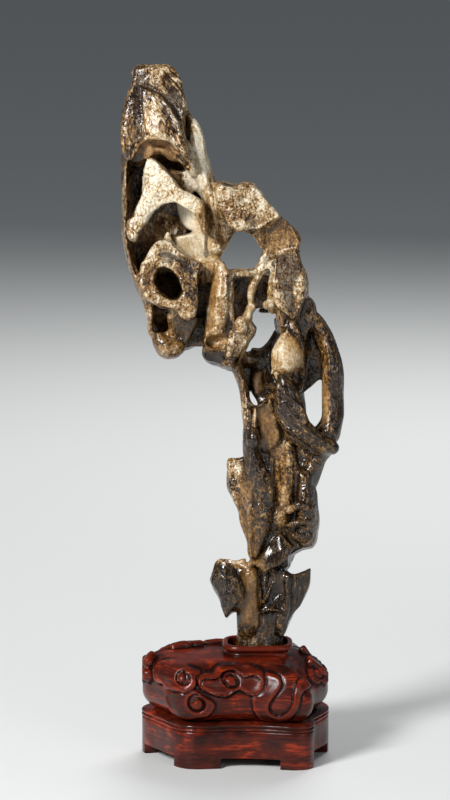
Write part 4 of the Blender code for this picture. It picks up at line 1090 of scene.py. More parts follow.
# Regions of the skin: shares for LOOKS, then the centre and the reach. The zone at -32 -8 338, on the web
# under the mask, has its pale share set low for the mask's shadow: painted shade.
ZONES = [Zone(*spots, tuple(map(float, words))) for words, spots in entries_of("""
0.5 0.1 0.3 0.6 0: -66 -10 540, 20 40 12
0.4 0 1 0.3 0: -55 -26 528, 13 16 6
0.74 0.4 0.1 0.1 0: -61 -34 506, 7 16 14
0.62 0 1 0.4 0: -46 -24 510, 9 20 20
0.34 0 1 0.3 0: -80 -10 504, 9 40 34
0.42 0.2 0.7 0.4 0: -84 0 440, 7 40 40
0.9 0.3 0 0 1: -60 -34 456, 16 10 18
0.42 0.5 0 0 0: -53 -18 483, 11 12 5
0.6 0 0 0.9 1: -79 -36 420, 6 12 9
0.88 0.5 0 0.15 1: -36 -34 442, 13 12 9
0.5 0.7 0 0.2 1: -24 -34 430, 5 12 9
0.98 0.45 0 0 1: -25.5 -12 476, 6 20 26
0.46 0 1 0.3 1: -37 -28 484, 5 12 14
0.64 0.5 0.2 0 1: -15 -10 438, 6 30 26
0.78 0 0 0.9 1: -52 -38 404, 20 16 8
0.46 0.4 0 0.3 1: -67 -36 380, 7 16 16
0.34 0 0 1 1: -32 -36 388, 8 16 14
0.6 0.3 0 0.4 1: -50 -36 358, 16 16 7
0.54 0.5 0 0.4 1: -54 -10 328, 14 24 12
0.28 0.8 0 0.1 1: -32 -8 338, 12 24 14
0.84 0.9 0 0 1: -31 -16 408, 12 14 11
0.86 0.8 0 0 1: -50 -24 419, 5 8 5
0.96 0.95 0 0 1: -34 -6 430, 9 12 9
0.6 0.1 0 0.6 0: 0 -14 442, 16 30 14
0.72 0.2 0 0.4 0: 27 -14 440, 12 30 10
0.46 0.6 0 0 1: 42 -6 416, 11 26 11
0.58 0.1 0.1 0.8 0: 46 -20 385, 12 24 20
0.8 0.2 0.2 0.3 0: 20 -16 388, 24 14 7
0.4 0.5 0 0 1: 18 14 370, 18 12 20
0.6 0.6 0 0.1 1: 27 -16 362, 9 14 12
0.72 0.7 0 0.1 0: 14 -16 364, 6 14 14
0.6 0.7 0.1 0.2 1: -14 -20 360, 8 22 24
0.58 0 0 0.9 0: -2 -20 344, 6 20 30
0.68 0.2 0 0.7 0: 8 -22 334, 10 20 14
0.14 0.1 0 0.8 0: -10 -14 314, 12 20 7
0.76 0.75 0 0.1 1: 43 -24 321, 13 14 15
0.28 0 0.4 0.8 0: 52 -4 345, 12 20 16
0.06 0.1 0.6 0.6 0: 84 -6 305, 6.5 26 48
0.62 0.8 0 0 1: 72 -8 286, 5 20 28
0.02 0.9 0 0 0: 40 -36 302, 5 10 6
0.16 0 0.9 0.5 0: 46 -30 282, 14 16 24
0.18 0.1 1 0.5 0: 66 -24 252, 16 20 14
0.3 0.4 0.2 0.4 0: 14 -8 292, 10 24 16
0.5 0.85 0.1 0.1 1: 29 -20 264, 8 14 18
0.12 0 0.3 0.8 0: 14 -20 252, 6 14 30
0.9 0.9 0 0 1: 18 -24 270, 3.4 10 9
0.5 0 0 0.8 0: 11.6 -16 274, 4 12 14
0 1 0 0 0: 17.4 -30 254, 6 10 9
0.2 0 0.1 0.9 0: 23 -16 206, 9 20 30
0.5 0.5 0.1 0.1 1: 41 -20 214, 7 18 28
0.55 0 0 0.7 0: 0 -10 222, 6 14 18
0.42 0.8 0 0.2 0: 11 -14 208, 6 14 14
0.46 1 0.2 0 0: 14 -14 180, 5 14 20
0.1 0 0.4 0.8 0: 59 -10 212, 10 24 16
0.26 0.1 0 0.9 0: 58 -10 184, 12 24 16
0.34 0.4 0 0 1: 68 -4 308, 9 12 16
0.18 1 0.3 0.3 0: 36 -18 164, 16 12 12
0.08 0.1 0 0.9 0: -6 -22 136, 10 20 24
0.74 0.5 0 0.2 0: 2 -12 155, 14 16 5
0.46 1 0.2 0 0: 14 -18 128, 9 16 32
0.2 0 0 0.8 0: 32 -14 124, 8 16 22
0.1 0.6 0 0.5 0: 54 -8 134, 12 20 20
0.18 0.2 0.3 0.3 0: 24 -10 92, 26 24 10
0.45 0.2 0.4 0.5 0: -40 34 430, 60 20 80
0.14 0.2 0.5 0.7 0: 30 28 240, 40 16 90
""")]


@dataclass(frozen=True)
class Relief:
    """The small unevenness of a weathered skin."""

    scallop_pitch: Point = (16.0, 16.0, 23.0)
    scallop_height: float = 1.9
    scallop_level: float = 0.62
    chip_pitch: Point = (8.0, 8.0, 12.0)
    chip_height: float = 0.5
    chip_level: float = 0.6
    cell_limit: float = 1.05
    calm_pitch: Point = (46.0, 46.0, 60.0)
    calmest: float = 0.35
    swell_pitch: Point = (24.0, 24.0, 34.0)
    swell_height: float = 1.1
    grain_pitch: Point = (7.0, 7.0, 11.0)
    grain_height: float = 0.3
    folds: tuple = (((10.0, 10.0, 20.0), 0.9), ((4.6, 4.6, 10.0), 0.24))
    fold_level: float = 0.55
    flat_end: float = 84.0
    fade: float = 12.0
    seed: int = 11

    def keep(self, heights: np.ndarray) -> np.ndarray:
        """The share that is kept at each height: none at the end that sits in the stand."""
        return step_up(heights, self.flat_end, self.flat_end + self.fade)


@dataclass
class Rock:
    """The stone: one piece with its holes, sculpted in a block and meshed."""

    finish: StoneFinish
    relief: Relief = field(default_factory=Relief)
    voxel: float = 1.15
    quick_voxel: float = 1.6
    joint_blend: float = 2.4
    inner_blend: float = 1.2
    hollow_blend: float = 1.4
    room_below: Point = (6.0, 6.0, 16.0)
    room_above: float = 6.0
    crispness: float = 0.6
    most_triangles: int = 196_000
    zone_sharpness: float = 1.6
    least_weight: float = 1e-6
    head_slant: tuple = ((0, -62, -52), (2, 470, 480))
    limb_slant: tuple = ((0, 26, 34), (2, 222, 232), (2, 312, 304))

    def sculpt(self, low: np.ndarray, high: np.ndarray) -> Clay:
        """Build the form up from limbs and slabs, hollow it and work its skin.

        Args:
            low: The solid's least corner.
            high: The solid's greatest corner.

        Returns:
            The finished block.
        """
        voxel = self.voxel
        clay = Clay(low - self.room_below, high + self.room_above, voxel)
        stages = (
            (LIMBS, SLABS, self.joint_blend, CAVERN_LIMBS, CAVERN_SLABS),
            (INNER_LIMBS, INNER_SLABS, self.inner_blend, HOLLOW_LIMBS, HOLLOW_SLABS),
        )
        for limbs, slabs, blend, hollow_limbs, hollow_slabs in stages:
            for stations in limbs.values():
                clay.add(clay.limb(stations), blend)
            for slab in slabs.values():
                clay.add(clay.slab(slab, self.crispness), blend)
            for stations in hollow_limbs.values():
                clay.cut(clay.limb(stations), self.hollow_blend)
            for slab in hollow_slabs.values():
                clay.cut(clay.slab(slab), self.hollow_blend)
        self.weather(clay)
        for mark in MARKS:
            clay.mark(mark)
        return clay

    def weather(self, clay: Clay) -> None:
        """Dimple and swell the skin, less near the end that sits in the stand."""
        relief, seed = self.relief, self.relief.seed
        calm = clay.swell(relief.calm_pitch, seed)
        calm = relief.calmest + (1 - relief.calmest) * step_up(calm, -0.6, 0.8)
        cells = np.minimum(clay.scallops(relief.scallop_pitch, seed + 1), relief.cell_limit)
        lift = relief.scallop_height * calm * (relief.scallop_level - cells)
        cells = np.minimum(clay.scallops(relief.chip_pitch, seed + 8), relief.cell_limit)
        lift += relief.chip_height * calm * (relief.chip_level - cells)
        lift -= relief.swell_height * clay.swell(relief.swell_pitch, seed + 2)
        lift -= relief.grain_height * clay.swell(relief.grain_pitch, seed + 3) * calm
        clay.distance += (lift * relief.keep(clay.axes[2][None, None, :])).astype(np.float32)

    def crumple(self, mesh: bpy.types.Mesh, clay: Clay, low: np.ndarray, high: np.ndarray) -> None:
        """Wrinkle the skin finely, except where it is calm."""
        relief = self.relief
        points = mesh_points(mesh) / MM
        places = off_plane(points, undo=True)
        folds = 0
        for seed, (pitch, share) in enumerate(relief.folds, relief.seed + 4):
            swell = clay.sample(clay.swell(pitch, seed), places)
            folds = folds + share * (relief.fold_level - np.abs(swell))
        keep = relief.keep(places[:, 2]) * (1 - self.looks_at(places)[:, LOOKS.index("calm")])
        normals = np.empty(len(points) * 3, np.float32)
        mesh.vertex_normals.foreach_get("vector", normals)
        points += normals.reshape(-1, 3) * (folds * keep)[:, None]
        set_points(mesh, np.clip(points, low, high) * MM)

    def looks_at(self, places: np.ndarray) -> np.ndarray:
        """The zones' looks, blended: one column for each of LOOKS."""
        looks = np.zeros((len(places), len(LOOKS)))
        weights = np.full(len(places), self.least_weight)
        for zone in ZONES:
            gap = (places - np.array(zone.centre)) / np.array(zone.reach)
            weight = np.exp(-self.zone_sharpness * (gap * gap).sum(1))
            weights += weight
            looks += weight[:, None] * np.array(zone.looks)
        return looks / weights[:, None]

    def slant_of(self, places: np.ndarray) -> np.ndarray:
        """Where the streaks run down to the right: on the head's right face and on the lower limb."""
        head, limb = (
            np.prod([step_up(places[:, axis], low, high) for axis, low, high in steps], axis=0)
            for steps in (self.head_slant, self.limb_slant)
        )
        return np.maximum(head, limb)

    def make(self) -> bpy.types.Object:
        """Sculpt, mesh and dress the stone.

        Returns:
            The dressed piece.
        """
        low, high = (np.array(corner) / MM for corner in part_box("rock"))
        clay = self.sculpt(low, high)
        stone = clay.mesh("stone", low, high, self.most_triangles, off_plane)
        self.crumple(stone.data, clay, low, high)
        places = off_plane(mesh_points(stone.data) / MM, undo=True)
        kept = dict(zip(LOOKS, self.looks_at(places).T))
        kept["slant"] = self.slant_of(places)
        kept["hollow"] = clay.sample(clay.hollow, places)
        kept["edge"] = clay.sample(blurred(clay.distance, 2), places)
        for name, values in kept.items():
            add_attribute(stone.data, name, values)
        stone.data.materials.append(self.finish.material())
        return stone


@dataclass(frozen=True)
class Patch:
    """A raised patch of the carving, with a rounded edge, a dished middle and a crease round it."""

    outline: Rows
    height: float
    shoulder: float
    dish: float
    crease: float


# Plan of the plinth, x and y, anticlockwise from the middle of the front.
PLAN = rows_of("""
6 -57, 24 -59, 38 -62.5, 50 -64.5, 60 -61.5, 65 -53, 64.5 -42, 66 -31, 71 -20, 76 -8, 78 4, 76.5 16, 71 28,
66 38, 64 48, 58 58, 47 63, 34 61.5, 18 58, 0 57, -16 59.5, -30 61.5, -40 58, -47 49, -54 37, -62 24,
-70 12, -72.5 1, -69.5 -10, -62 -23, -54 -37, -47 -49, -40 -57, -30 -61, -16 -60, -5 -58
""")

# Rings of the cushion: height, distance inside the plan, and shift to the left.
BODY_PROFILE = rows_of("""
36.3 11 0, 38 8.4 0, 40.5 5.6 0, 44 2.8 0, 48 1.3 0, 52 1 0, 57 1.4 0.2, 62 2.3 1.2, 67 3.8 2.8, 71 5.4 4,
75 8 5, 78 11.4 5.6, 80.5 16 6, 82.2 23 6, 83.2 32 5, 84 43 2
""")

# The plinth's wall: height and distance inside the plan.
WALL_SECTION = rows_of("""
0 1.1, 0.5 0.6, 4 0.6, 8 0.6, 14 0.6, 22 0.6, 28.6 0.6, 29.3 0.9, 29.8 1.5, 32.3 1.7, 32.8 1.7,
35.3 1.5, 35.7 2.2, 36 2.9
""")

# Openings between the feet, in plan.
BAYS = table_of(list, """
front: -9 -90, 38 -90, 38 -30, -9 -30
left_front: -47 -75, -46 -50, -40 -34, -52 -4, -70 -8, -100 -8
right_front: 70 -80, 100 -60, 100 -4, 75 -4, 56 -4, 50 -40, 64 -44
back: 38 90, -9 90, -9 30, 38 30
left_back: -100 14, -70 14, -52 8, -38 34, -46 50, -47 75
right_back: 64 46, 50 40, 56 14, 74 14, 100 14, 100 60, 70 80
""")

# Patches of the carving: height, shoulder, dish and crease, then points as distance round the
# plan and height.
FRONT_PATCHES = table_of(Patch, """
ribbon 2.9 2 0.7 1.1: 22.5 76, 27.5 76.5, 32.5 75.5, 36 73, 36.5 68.5, 33 63.5, 27.5 58, 24 52.5, 23.5 48,
 25.5 44.5, 30 42, 35.5 45, 40 50, 42.5 55.5, 43.5 61, 47.5 67, 53.5 71, 62 72, 70 70, 74 64, 66 64.5,
 57 64, 50.5 60.5, 48.5 55.5, 46.5 49, 41.5 42, 32 36.5, 23 35, 16.5 37, 12.5 42.5, 10 49.5, 10 57.5, 14 64
lower_leaf 3.3 2.6 1 1.2: -66.5 59, -68.5 54, -66.5 50, -62.5 44.5, -60 40.5, -54 38, -43 38, -34 40,
 -26.5 41, -22 44.5, -19.5 49, -19 52.5, -21.5 55.5, -26.5 58.5, -30.5 61.5, -33 64, -40 66, -50 65, -62 64
left_cloud 3.9 2.8 0.6 1.6: -85 78.5, -86 74, -86 69, -84 64, -78.5 62.5, -70.5 63, -66 60.5, -55 61,
 -47.5 61.5, -43.5 60.5, -38 62.5, -33 65.5, -30 69, -28.5 72.5, -23.5 76.5, -27 78.5, -33 80, -44 81.5,
 -56 82, -70 81.5, -80 80.5
centre_cloud 4.3 2.2 0 1.8: -28.5 73, -24.5 75.5, -19 76, -14.5 76, -12 78.5, -7.5 80.5, -2 81.3, 3.5 81.3,
 10 81, 15.5 80, 20 78.5, 22.5 76, 24 71, 21.5 66, 18 61.5, 13 59, 8 59.5, 4 62, 0.5 63, -3 61.5, -8 59,
 -12.5 58, -17.5 59, -22.5 61, -27.5 64, -29.5 68
centre_dish 3.2 1.6 0.5 -0.5: -27 70, -22 72.5, -15 72, -10 74, -6.5 76, -2 77.5, 1.5 77.3, 5 75.5, 8.5 73,
 13 74.5, 18 73.7, 21.5 70.5, 20.5 65, 17 61.5, 12.5 60, 8 60.5, 4 63, 0.5 64, -4 62.5, -9 60, -15 59.5,
 -22 62, -27 66
""")
SIDE_PATCHES = table_of(Patch, """
cloud 3.4 2.4 0.8 1.2: -26 66, -22 72, -16 73, -12 77, -4 79, 4 79, 12 77, 16 73, 22 72, 27 66, 22 60,
 14 61, 8 57, 0 58, -8 57, -14 61, -22 60
""")

# Knobs on the shoulder of the cushion.
KNOBS = table_of(list, """
left_upper: -66.6 -14 76.4 4 4.4, -64.4 -9 79 4 4.4
left_lower: -66.8 -16 66.4 4.2 5, -65.4 -11 68.6 4.2 5
shoulder_first: -58 2 77.4 3.2 4, -55.6 7 79.8 3 4
shoulder_second: -52 10 80.8 3 4, -49 13 81.8 3 4
shoulder_third: -45 8 82.6 4.4 4.4, -39 9 83.6 4.6 4.4, -35.4 10 83.6 3.4 4
shoulder_fourth: -30 14 83.8 3.6 4, -26 16 84 3.2 4
shoulder_band: -20 22 83.8 2.4 3, -12 24 84.2 2.6 3, -5 24 84 2.4 3
right_tip: 70 -6 66 5 5, 76 -2 64 1.6 3
right_petal: 62 -10 76 3 4, 68 -6 70 3 4
right_square: 57 4 82 3.2 3.6, 59 4 79 3.2 3.6
""")


@dataclass(frozen=True)
class Scroll:
    """A spiral eye: a groove that winds in round a small dome."""

    centre: Point
    radius: float
    start_deg: float
    turns: float
    depth: float
    width: float
    dome: float
    hand: Hand
    squash: float


FRONT_SCROLLS = (
    Scroll((-43.5, 73.3), 7.6, 20, 1.15, 2.8, 1.8, 1.8, Hand.LEFT, 0.74),
    Scroll((-33.5, 53), 7.4, 80, 1.2, 3.0, 1.9, 2.0, Hand.RIGHT, 0.95),
    Scroll((-2.8, 70.3), 6.6, 60, 1.2, 2.8, 1.8, 1.8, Hand.RIGHT, 1.0),
)
SIDE_SCROLLS = (
    Scroll((-12, 67.5), 6.2, 60, 1.2, 2.4, 1.7, 1.5, Hand.RIGHT, 0.9),
    Scroll((12, 67.5), 6.2, 120, 1.2, 2.4, 1.7, 1.5, Hand.LEFT, 0.9),
)


class Carving:
    """The relief round the cushion, as heights over distance round the plan and height."""

    PITCH = 0.4
    MARGIN = 4.0
    CREASE_REACH = 2.2
    DISH_RUN = 4.5
    LOWEST = -0.6
    DISH_START = 0.7
    STEPS = 5
    WIND_STEPS = 40
    WIND_IN = 0.42
    DOME_SHARE = 0.62
    FRONT_ENDS = (0.42, 0.41)

    def __init__(self, around: float, low: float, high: float) -> None:
        """Start flat.

        Args:
            around: The plan's length.
            low: The least height.
            high: The greatest height.
        """
        self.around = around
        self.places = np.arange(-around / 2, around / 2, self.PITCH)
        self.levels = np.arange(low, high, self.PITCH)
        self.heights = np.zeros((len(self.places), len(self.levels)), np.float32)

    def near(self, curve: np.ndarray) -> tuple[slice, slice]:
        """The part of the map round a curve."""
        least, most = curve.min(0) - self.MARGIN, curve.max(0) + self.MARGIN
        axes = (self.places, self.levels)
        cuts = [slice(*np.searchsorted(axis, ends)) for axis, ends in zip(axes, zip(least, most))]
        return cuts[0], cuts[1]

    def raise_patches(self, patches: dict[str, Patch], shift: float = 0.0) -> None:
        """Lay patches over what is there, each moved so far round the plan."""
        for patch in patches.values():
            curve = smooth_curve(patch.outline, self.STEPS, closed=True) + (shift, 0)
            spot = self.near(curve)
            distance = distance_to(curve, self.places[spot[0]], self.levels[spot[1]], closed=True)
            inside = np.clip(-distance / patch.shoulder, 0, 1)
            pillow = patch.height * np.sqrt(1 - (1 - inside) ** 2)
            dish = (patch.shoulder * self.DISH_START, patch.shoulder + self.DISH_RUN)
            pillow -= patch.dish * step_up(-distance, *dish)
            crease = patch.crease * np.clip(1 - distance / self.CREASE_REACH, 0, 1) ** 2
            under = self.heights[spot] - crease
            self.heights[spot] = np.where(distance < 0, np.maximum(pillow, self.LOWEST), under)

    def wind(self, scrolls: Sequence[Scroll], shift: float = 0.0) -> None:
        """Cut the scrolls' winding grooves and raise the domes in their middles."""
        for scroll in scrolls:
            turns = np.linspace(0, scroll.turns * 2 * math.pi, self.WIND_STEPS)
            reach = scroll.radius * (1 - self.WIND_IN * turns / turns[-1])
            angle = math.radians(scroll.start_deg) + scroll.hand.value * turns
            x, z = reach * np.cos(angle), reach * np.sin(angle) * scroll.squash
            curve = np.stack([scroll.centre[0] + x + shift, scroll.centre[1] + z], 1)
            spot = self.near(curve)
            places, levels = self.places[spot[0]], self.levels[spot[1]]
            distance = distance_to(curve, places, levels)
            s, level = np.meshgrid(places, levels, indexing="ij")
            middle = np.hypot(s - scroll.centre[0] - shift, (level - scroll.centre[1]) / scroll.squash)
            dome = np.sqrt(np.clip(1 - (middle / (self.DOME_SHARE * scroll.radius)) ** 2, 0, 1))
            groove = np.clip(1 - distance / scroll.width, 0, 1)
            self.heights[spot] += scroll.dome * dome - scroll.depth * groove * groove * (3 - 2 * groove)

    def repeat_behind(self) -> None:
        """Repeat the front's pattern half way round."""
        half, turn = self.around / 2, len(self.places) // 2
        front = step_up(np.abs(self.places), *(half * end for end in self.FRONT_ENDS))[:, None]
        back = np.roll(front, turn, axis=0)
        self.heights = self.heights * (1 - back) + np.roll(self.heights, turn, axis=0) * back

    def heights_at(self, places: np.ndarray, level: float) -> np.ndarray:
        """The relief at distances round the plan, on one level."""
        across = np.clip(((places + self.around / 2) / self.PITCH), 0, len(self.places) - 2)
        up = min(max((level - self.levels[0]) / self.PITCH, 0), len(self.levels) - 2)
        i, j = across.astype(int), int(up)
        a, b = across - i, up - j
        low, high = (self.heights[i, k] * (1 - a) + self.heights[i + 1, k] * a for k in (j, j + 1))
        return low * (1 - b) + high * b


@dataclass
class Cushion:
    """The carved upper part of the stand with the collar that the stone stands in."""

    finish: LacquerFinish
    voxel: float = 0.8
    quick_voxel: float = 1.1
    top: float = 84.0
    top_blend: float = 3.0
    bottom: float = 36.3
    bottom_blend: float = 0.6
    steepest: float = 6.0
    steps: int = 6
    room: float = 3.0
    seam: float = 20.0
    sill: float = 2.0
    rise: float = 0.5
    knob_power: float = 3.2
    knob_blend: float = 1.2
    collar_centre: Point = (20.5, -2.0)
    collar_half: Point = (28.0, 23.0)
    collar_low: Point = (-20.0, -40.0, 70.0)
    collar_high: Point = (60.0, 40.0, 95.0)
    collar_top: float = 91.0
    lip_radius: float = 2.2
    lip_level: float = 88.6
    lip_flat: float = 0.2
    lip_blend: float = 0.6
    throat_inset: float = 2.6
    throat_top: float = 89.0
    throat_blend: float = 2.0
    socket_half: Point = (23.8, 18.8)
    socket_floor: float = 76.0
    socket_blend: float = 0.8
    most_triangles: int = 190_000

    def carving(self, around: float) -> Carving:
        """The whole pattern: clouds and a ribbon on the front and back, paired scrolls on the sides."""
        carving = Carving(around, self.bottom - self.sill, self.collar_top)
        for shift in (-around / 4, around / 4):
            carving.raise_patches(SIDE_PATCHES, shift)
            carving.wind(SIDE_SCROLLS, shift)
        carving.raise_patches(FRONT_PATCHES)
        carving.wind(FRONT_SCROLLS)
        carving.repeat_behind()
        return carving

    def sculpt(self, low: np.ndarray, high: np.ndarray) -> Clay:
        """Build the swelling body, its carving, the collar and the socket.

        Args:
            low: The solid's least corner.
            high: The solid's greatest corner.

        Returns:
            The finished block.
        """
        voxel = self.voxel
        clay = Clay(low - self.room, high + self.room, voxel)
        flat, places, around = self.plan_tables(clay, smooth_curve(PLAN, self.steps, closed=True))
        carving = self.carving(around)
        rings = smooth_curve(BODY_PROFILE, self.steps)
        for k, level in enumerate(clay.axes[2]):
            inwards, left = (np.interp(level, rings[:, 0], rings[:, i]) for i in (1, 2))
            slope = (np.interp(level + self.rise, rings[:, 0], rings[:, 1]) - inwards) / self.rise
            gap = shifted(flat, left / voxel) + inwards
            relief = carving.heights_at(shifted(places, left / voxel, self.seam), float(level))
            clay.distance[:, :, k] = (gap - relief) / math.sqrt(1 + min(abs(slope), self.steepest) ** 2)
        height = np.broadcast_to(clay.axes[2], clay.distance.shape)
        clay.distance = soft_most(clay.distance, height - self.top, self.top_blend)
        clay.distance = soft_most(clay.distance, self.bottom - height, self.bottom_blend)
        for stations in KNOBS.values():
            clay.add(clay.limb(stations, self.knob_power), self.knob_blend)
        self.add_collar(clay)
        return clay

    @staticmethod
    def plan_tables(clay: Clay, curve: np.ndarray) -> tuple[np.ndarray, np.ndarray, float]:
        """Tables over the grid's x and y.

        Args:
            clay: The block.
            curve: The plan's outline.

        Returns:
            Distance from the outline, distance round it, and its length.
        """
        ends = np.roll(curve, -1, 0)
        steps = np.linalg.norm(ends - curve, axis=1)
        starts = np.concatenate([[0], np.cumsum(steps)[:-1]])
        around = float(steps.sum())
        x, y = np.meshgrid(clay.axes[0], clay.axes[1], indexing="ij")
        nearest = np.full(x.shape, 1e9)
        places = np.zeros(x.shape)
        for (ax, ay), (bx, by), length, start in zip(curve, ends, steps, starts):
            share = np.clip(((x - ax) * (bx - ax) + (y - ay) * (by - ay)) / length**2, 0, 1)
            gap = (x - ax - share * (bx - ax)) ** 2 + (y - ay - share * (by - ay)) ** 2
            closer = gap < nearest
            nearest = np.where(closer, gap, nearest)
            places = np.where(closer, start + share * length, places)
        flat = distance_to(curve, clay.axes[0], clay.axes[1], closed=True)
        return flat, np.where(places > around / 2, places - around, places), around

    def from_oval(self, x: np.ndarray, y: np.ndarray, half: Point) -> np.ndarray:
        """Distance from a squared oval round the collar's middle."""
        u, v = (x - self.collar_centre[0]) / half[0], (y - self.collar_centre[1]) / half[1]
        return ((u**4 + v**4) ** 0.25 - 1) * min(half)

    def add_collar(self, clay: Clay) -> None:
        """Add the lip round the foot of the stone, and sink the socket."""
        window, (x, y, z) = clay.window(self.collar_low, self.collar_high)
        wall = self.from_oval(x, y, self.collar_half)
        rise = np.maximum(np.abs(z - self.lip_level) - self.lip_flat, 0)
        lip = np.sqrt(np.maximum(wall + self.lip_radius, 0) ** 2 + rise**2) - self.lip_radius
        throat = np.maximum(wall + self.throat_inset, z - self.throat_top)
        throat = np.maximum(throat, self.collar_low[2] - z)
        socket = np.maximum(self.from_oval(x, y, self.socket_half), self.socket_floor - z)
        clay.add((window, np.maximum(lip, self.top - z).astype(np.float32)), self.lip_blend)
        clay.add((window, throat.astype(np.float32)), self.throat_blend)
        clay.cut((window, socket.astype(np.float32)), self.socket_blend)

    def make(self) -> bpy.types.Object:
        """Sculpt, mesh and dress the cushion.

        Returns:
            The dressed piece.
        """
        low, high = (np.array(corner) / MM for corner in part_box("stand_body"))
        clay = self.sculpt(low, high)
        cushion = clay.mesh("cushion", low, high, self.most_triangles)
        edge = clay.sample(blurred(clay.distance, 2), mesh_points(cushion.data) / MM)
        add_attribute(cushion.data, "edge", edge)
        cushion.data.materials.append(self.finish.material())
        return cushion


def shifted(table: np.ndarray, cells: float, jump: float = math.inf) -> np.ndarray:
    """A table read so many cells further along its first axis, blended where it doesn't jump."""
    whole = int(cells)
    share = cells - whole
    index = np.arange(len(table)) + whole
    first, second = (table[np.clip(index + step, 0, len(table) - 1)] for step in (0, 1))
    return np.where(np.abs(first - second) < jump, first * (1 - share) + second * share, first)


@dataclass
class Plinth:
    """The moulded base: a lobed wall on six feet, with two beads round its top."""

    finish: LacquerFinish
    wall_section: Rows = field(default_factory=lambda: WALL_SECTION)
    foot_height: float = 8.0
    apron_thickness: float = 10.0
    recess_height: float = 14.0
    below: float = -5.0
    edge_radius: float = 0.45
    edge_deg: float = 50.0
    sharp_deg: float = 38.0
    bead_radius: float = 1.25
    bead_inset: float = 1.5
    bead_sides: int = 12
    bead_levels: Point = (31.1, 34.2)
    plan_steps: int = 9

    def curve(self, inwards: float) -> np.ndarray:
        """The plan's outline, moved inwards."""
        points = smooth_curve(PLAN, self.plan_steps, closed=True)
        along = np.roll(points, -1, 0) - np.roll(points, 1, 0)
        out = np.stack([along[:, 1], -along[:, 0]], 1)
        return points - inwards * out / np.linalg.norm(out, axis=1)[:, None]

    def base(self) -> bpy.types.Object:
        """The wall and top, with the recess and the bays between the feet cut out."""
        plinth = prism_of("plinth", [(self.curve(inwards), level) for level, inwards in self.wall_section])
        inner = self.curve(self.apron_thickness)
        cutters = [prism_of("recess", [(inner, z) for z in (self.below, self.recess_height)])]
        for name, outline in BAYS.items():
            ends = (self.below, self.foot_height)
            cutters.append(prism_of(name, [(np.array(outline), z) for z in ends]))
        for cutter in cutters:
            cut = plinth.modifiers.new(cutter.name, "BOOLEAN")
            cut.operation, cut.solver, cut.object = "DIFFERENCE", "EXACT", cutter
        soften = plinth.modifiers.new("Round", "BEVEL")
        soften.width, soften.segments = self.edge_radius * MM, 2
        soften.limit_method, soften.angle_limit = "ANGLE", math.radians(self.edge_deg)
        apply_modifiers(plinth)
        for cutter in cutters:
            bpy.data.objects.remove(cutter)
        plinth.data.set_sharp_from_angle(angle=math.radians(self.sharp_deg))
        return plinth

    def beads(self) -> bpy.types.Object:
        """The two beads, swept round the plan by Geometry Nodes."""
        tree = bpy.data.node_groups.new("beads", "GeometryNodeTree")
        sockets = [
            tree.interface.new_socket(name, in_out=way, socket_type="NodeSocket" + kind)
            for name, way, kind in (
                ("Geometry", "INPUT", "Geometry"), ("Geometry", "OUTPUT", "Geometry"),
                ("Bead Radius", "INPUT", "Float"), ("Sides", "INPUT", "Int"),
            )
        ]
        enter, leave, guide, circle, sweep, smooth = (
            tree.nodes.new(kind) for kind in (
                "NodeGroupInput", "NodeGroupOutput", "GeometryNodeMeshToCurve",
                "GeometryNodeCurvePrimitiveCircle", "GeometryNodeCurveToMesh", "GeometryNodeSetShadeSmooth",
            )
        )
        for source, output, target, socket in (
            (enter, "Geometry", guide, "Mesh"), (enter, "Bead Radius", circle, "Radius"),
            (enter, "Sides", circle, "Resolution"), (guide, "Curve", sweep, "Curve"),
            (circle, "Curve", sweep, "Profile Curve"), (sweep, "Mesh", smooth, "Geometry"),
            (smooth, "Geometry", leave, "Geometry"),
        ):
            tree.links.new(source.outputs[output], target.inputs[socket])

        points, edges = [], []
        ring = self.curve(self.bead_inset)
        for first, level in zip((0, len(ring)), self.bead_levels):
            points += [(x * MM, y * MM, level * MM) for x, y in ring]
            edges += [(first + i, first + (i + 1) % len(ring)) for i in range(len(ring))]
        mesh = bpy.data.meshes.new("beads")
        mesh.from_pydata(points, edges, [])
        beads = linked("plinth_beads", mesh)
        run = beads.modifiers.new("Beads", "NODES")
        run.node_group = tree
        run[sockets[2].identifier], run[sockets[3].identifier] = self.bead_radius * MM, self.bead_sides
        apply_modifiers(beads)
        return beads

    def make(self) -> list[bpy.types.Object]:
        """Build and dress the base and its beads.

        Returns:
            The base, then the beads.
        """
        pieces = [self.base(), self.beads()]
        material = self.finish.material()
        for piece in pieces:
            set_points(piece.data, np.clip(mesh_points(piece.data), *map(np.array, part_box("stand_plinth"))))
            add_attribute(piece.data, "edge", np.zeros(len(piece.data.vertices)))
            piece.data.materials.clear()
            piece.data.materials.append(material)
        return pieces


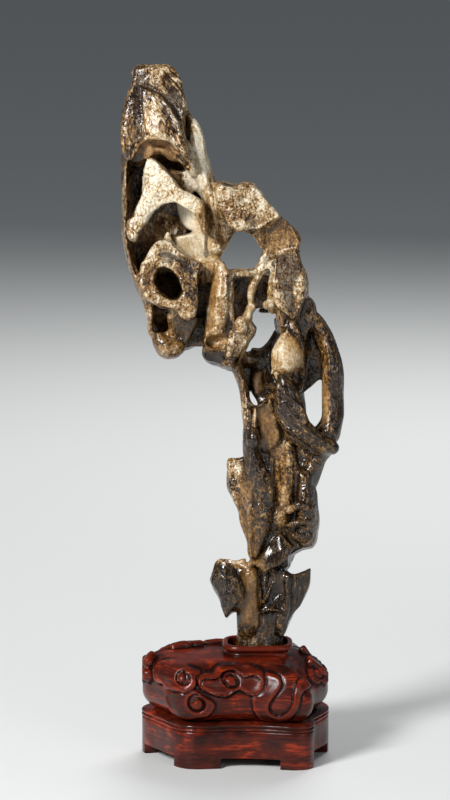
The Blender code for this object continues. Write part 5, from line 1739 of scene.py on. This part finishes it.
@dataclass
class Studio:
    """Pale floor, soft light and the camera. Sizes are in metres."""

    floor_colour: str = "cbcccb"
    floor_reach: float = 16.0
    floor_rough: float = 0.7
    target: Point = (-0.0055336, 0.0, 0.2848409)
    eye: Point = (-0.0055336, -3.16060269, 0.78543119)
    tilt_deg: float = 81.0
    lens: float = 182.16
    sensor: float = 36.0
    world_colour: str = "bcc4ca"
    world_strength: float = 0.24

    def make(self) -> None:
        """Build the floor, the lights and the camera."""
        self.make_floor()
        self.make_light("key", (-1.3, -1.7, 1.4), 0.6, 92)
        self.make_light("fill", (1.3, -1.8, 0.8), 0.8, 8)
        self.make_light("back", (0.5, 1.8, 1.9), 1.4, 54).visible_glossy = False
        world = bpy.data.worlds.new("studio")
        world.use_nodes = True
        sky = world.node_tree.nodes["Background"].inputs
        sky[0].default_value, sky[1].default_value = colour_of(self.world_colour), self.world_strength
        bpy.context.scene.world = world
        bpy.context.scene.view_settings.view_transform = "Standard"
        self.make_camera()

    def make_floor(self) -> None:
        """A flat pale sheet that reaches past the view."""
        mesh = bpy.data.meshes.new("floor")
        end = self.floor_reach
        corners = [(-end, -end, 0), (end, -end, 0), (end, end, 0), (-end, end, 0)]
        mesh.from_pydata(corners, [], [range(4)])
        shader = Shader("floor")
        shader.dress(self.floor_colour, self.floor_rough)
        mesh.materials.append(shader.material)
        linked("floor", mesh)

    def make_light(self, name: str, place: Point, size: float, power: float) -> bpy.types.Object:
        """A square soft light that faces the object's middle."""
        light = bpy.data.lights.new(name, "AREA")
        light.size, light.energy = size, power
        lamp = linked(name, light)
        lamp.location = place
        lamp.rotation_euler = (Vector(self.target) - Vector(place)).to_track_quat("-Z", "Y").to_euler()
        return lamp

    def make_camera(self) -> None:
        """A long lens a little above the object."""
        camera = bpy.data.cameras.new("camera")
        camera.lens, camera.sensor_width = self.lens, self.sensor
        eye = linked("camera", camera)
        eye.location, eye.rotation_euler = self.eye, (math.radians(self.tilt_deg), 0.0, 0.0)
        bpy.context.scene.camera = eye


def place_piece(piece: bpy.types.Object, node: str) -> None:
    """Fasten a piece to the object's body in the place of its solid."""
    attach(piece, "root")
    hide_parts(node)
    low, high = tuple(piece.bound_box[0]), tuple(piece.bound_box[6])
    LOG.info("%s: %d faces, from %s to %s m", piece.name, len(piece.data.polygons), low, high)


def main() -> None:
    """Build the pieces in order and report each."""
    logging.basicConfig(level=logging.INFO, format="%(message)s")
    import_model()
    place_piece(Rock(StoneFinish()).make(), "rock")
    place_piece(Cushion(LacquerFinish()).make(), "stand_body")
    for piece in Plinth(LacquerFinish()).make():
        place_piece(piece, "stand_plinth")
    Studio().make()


if __name__ == "__main__":
    main()
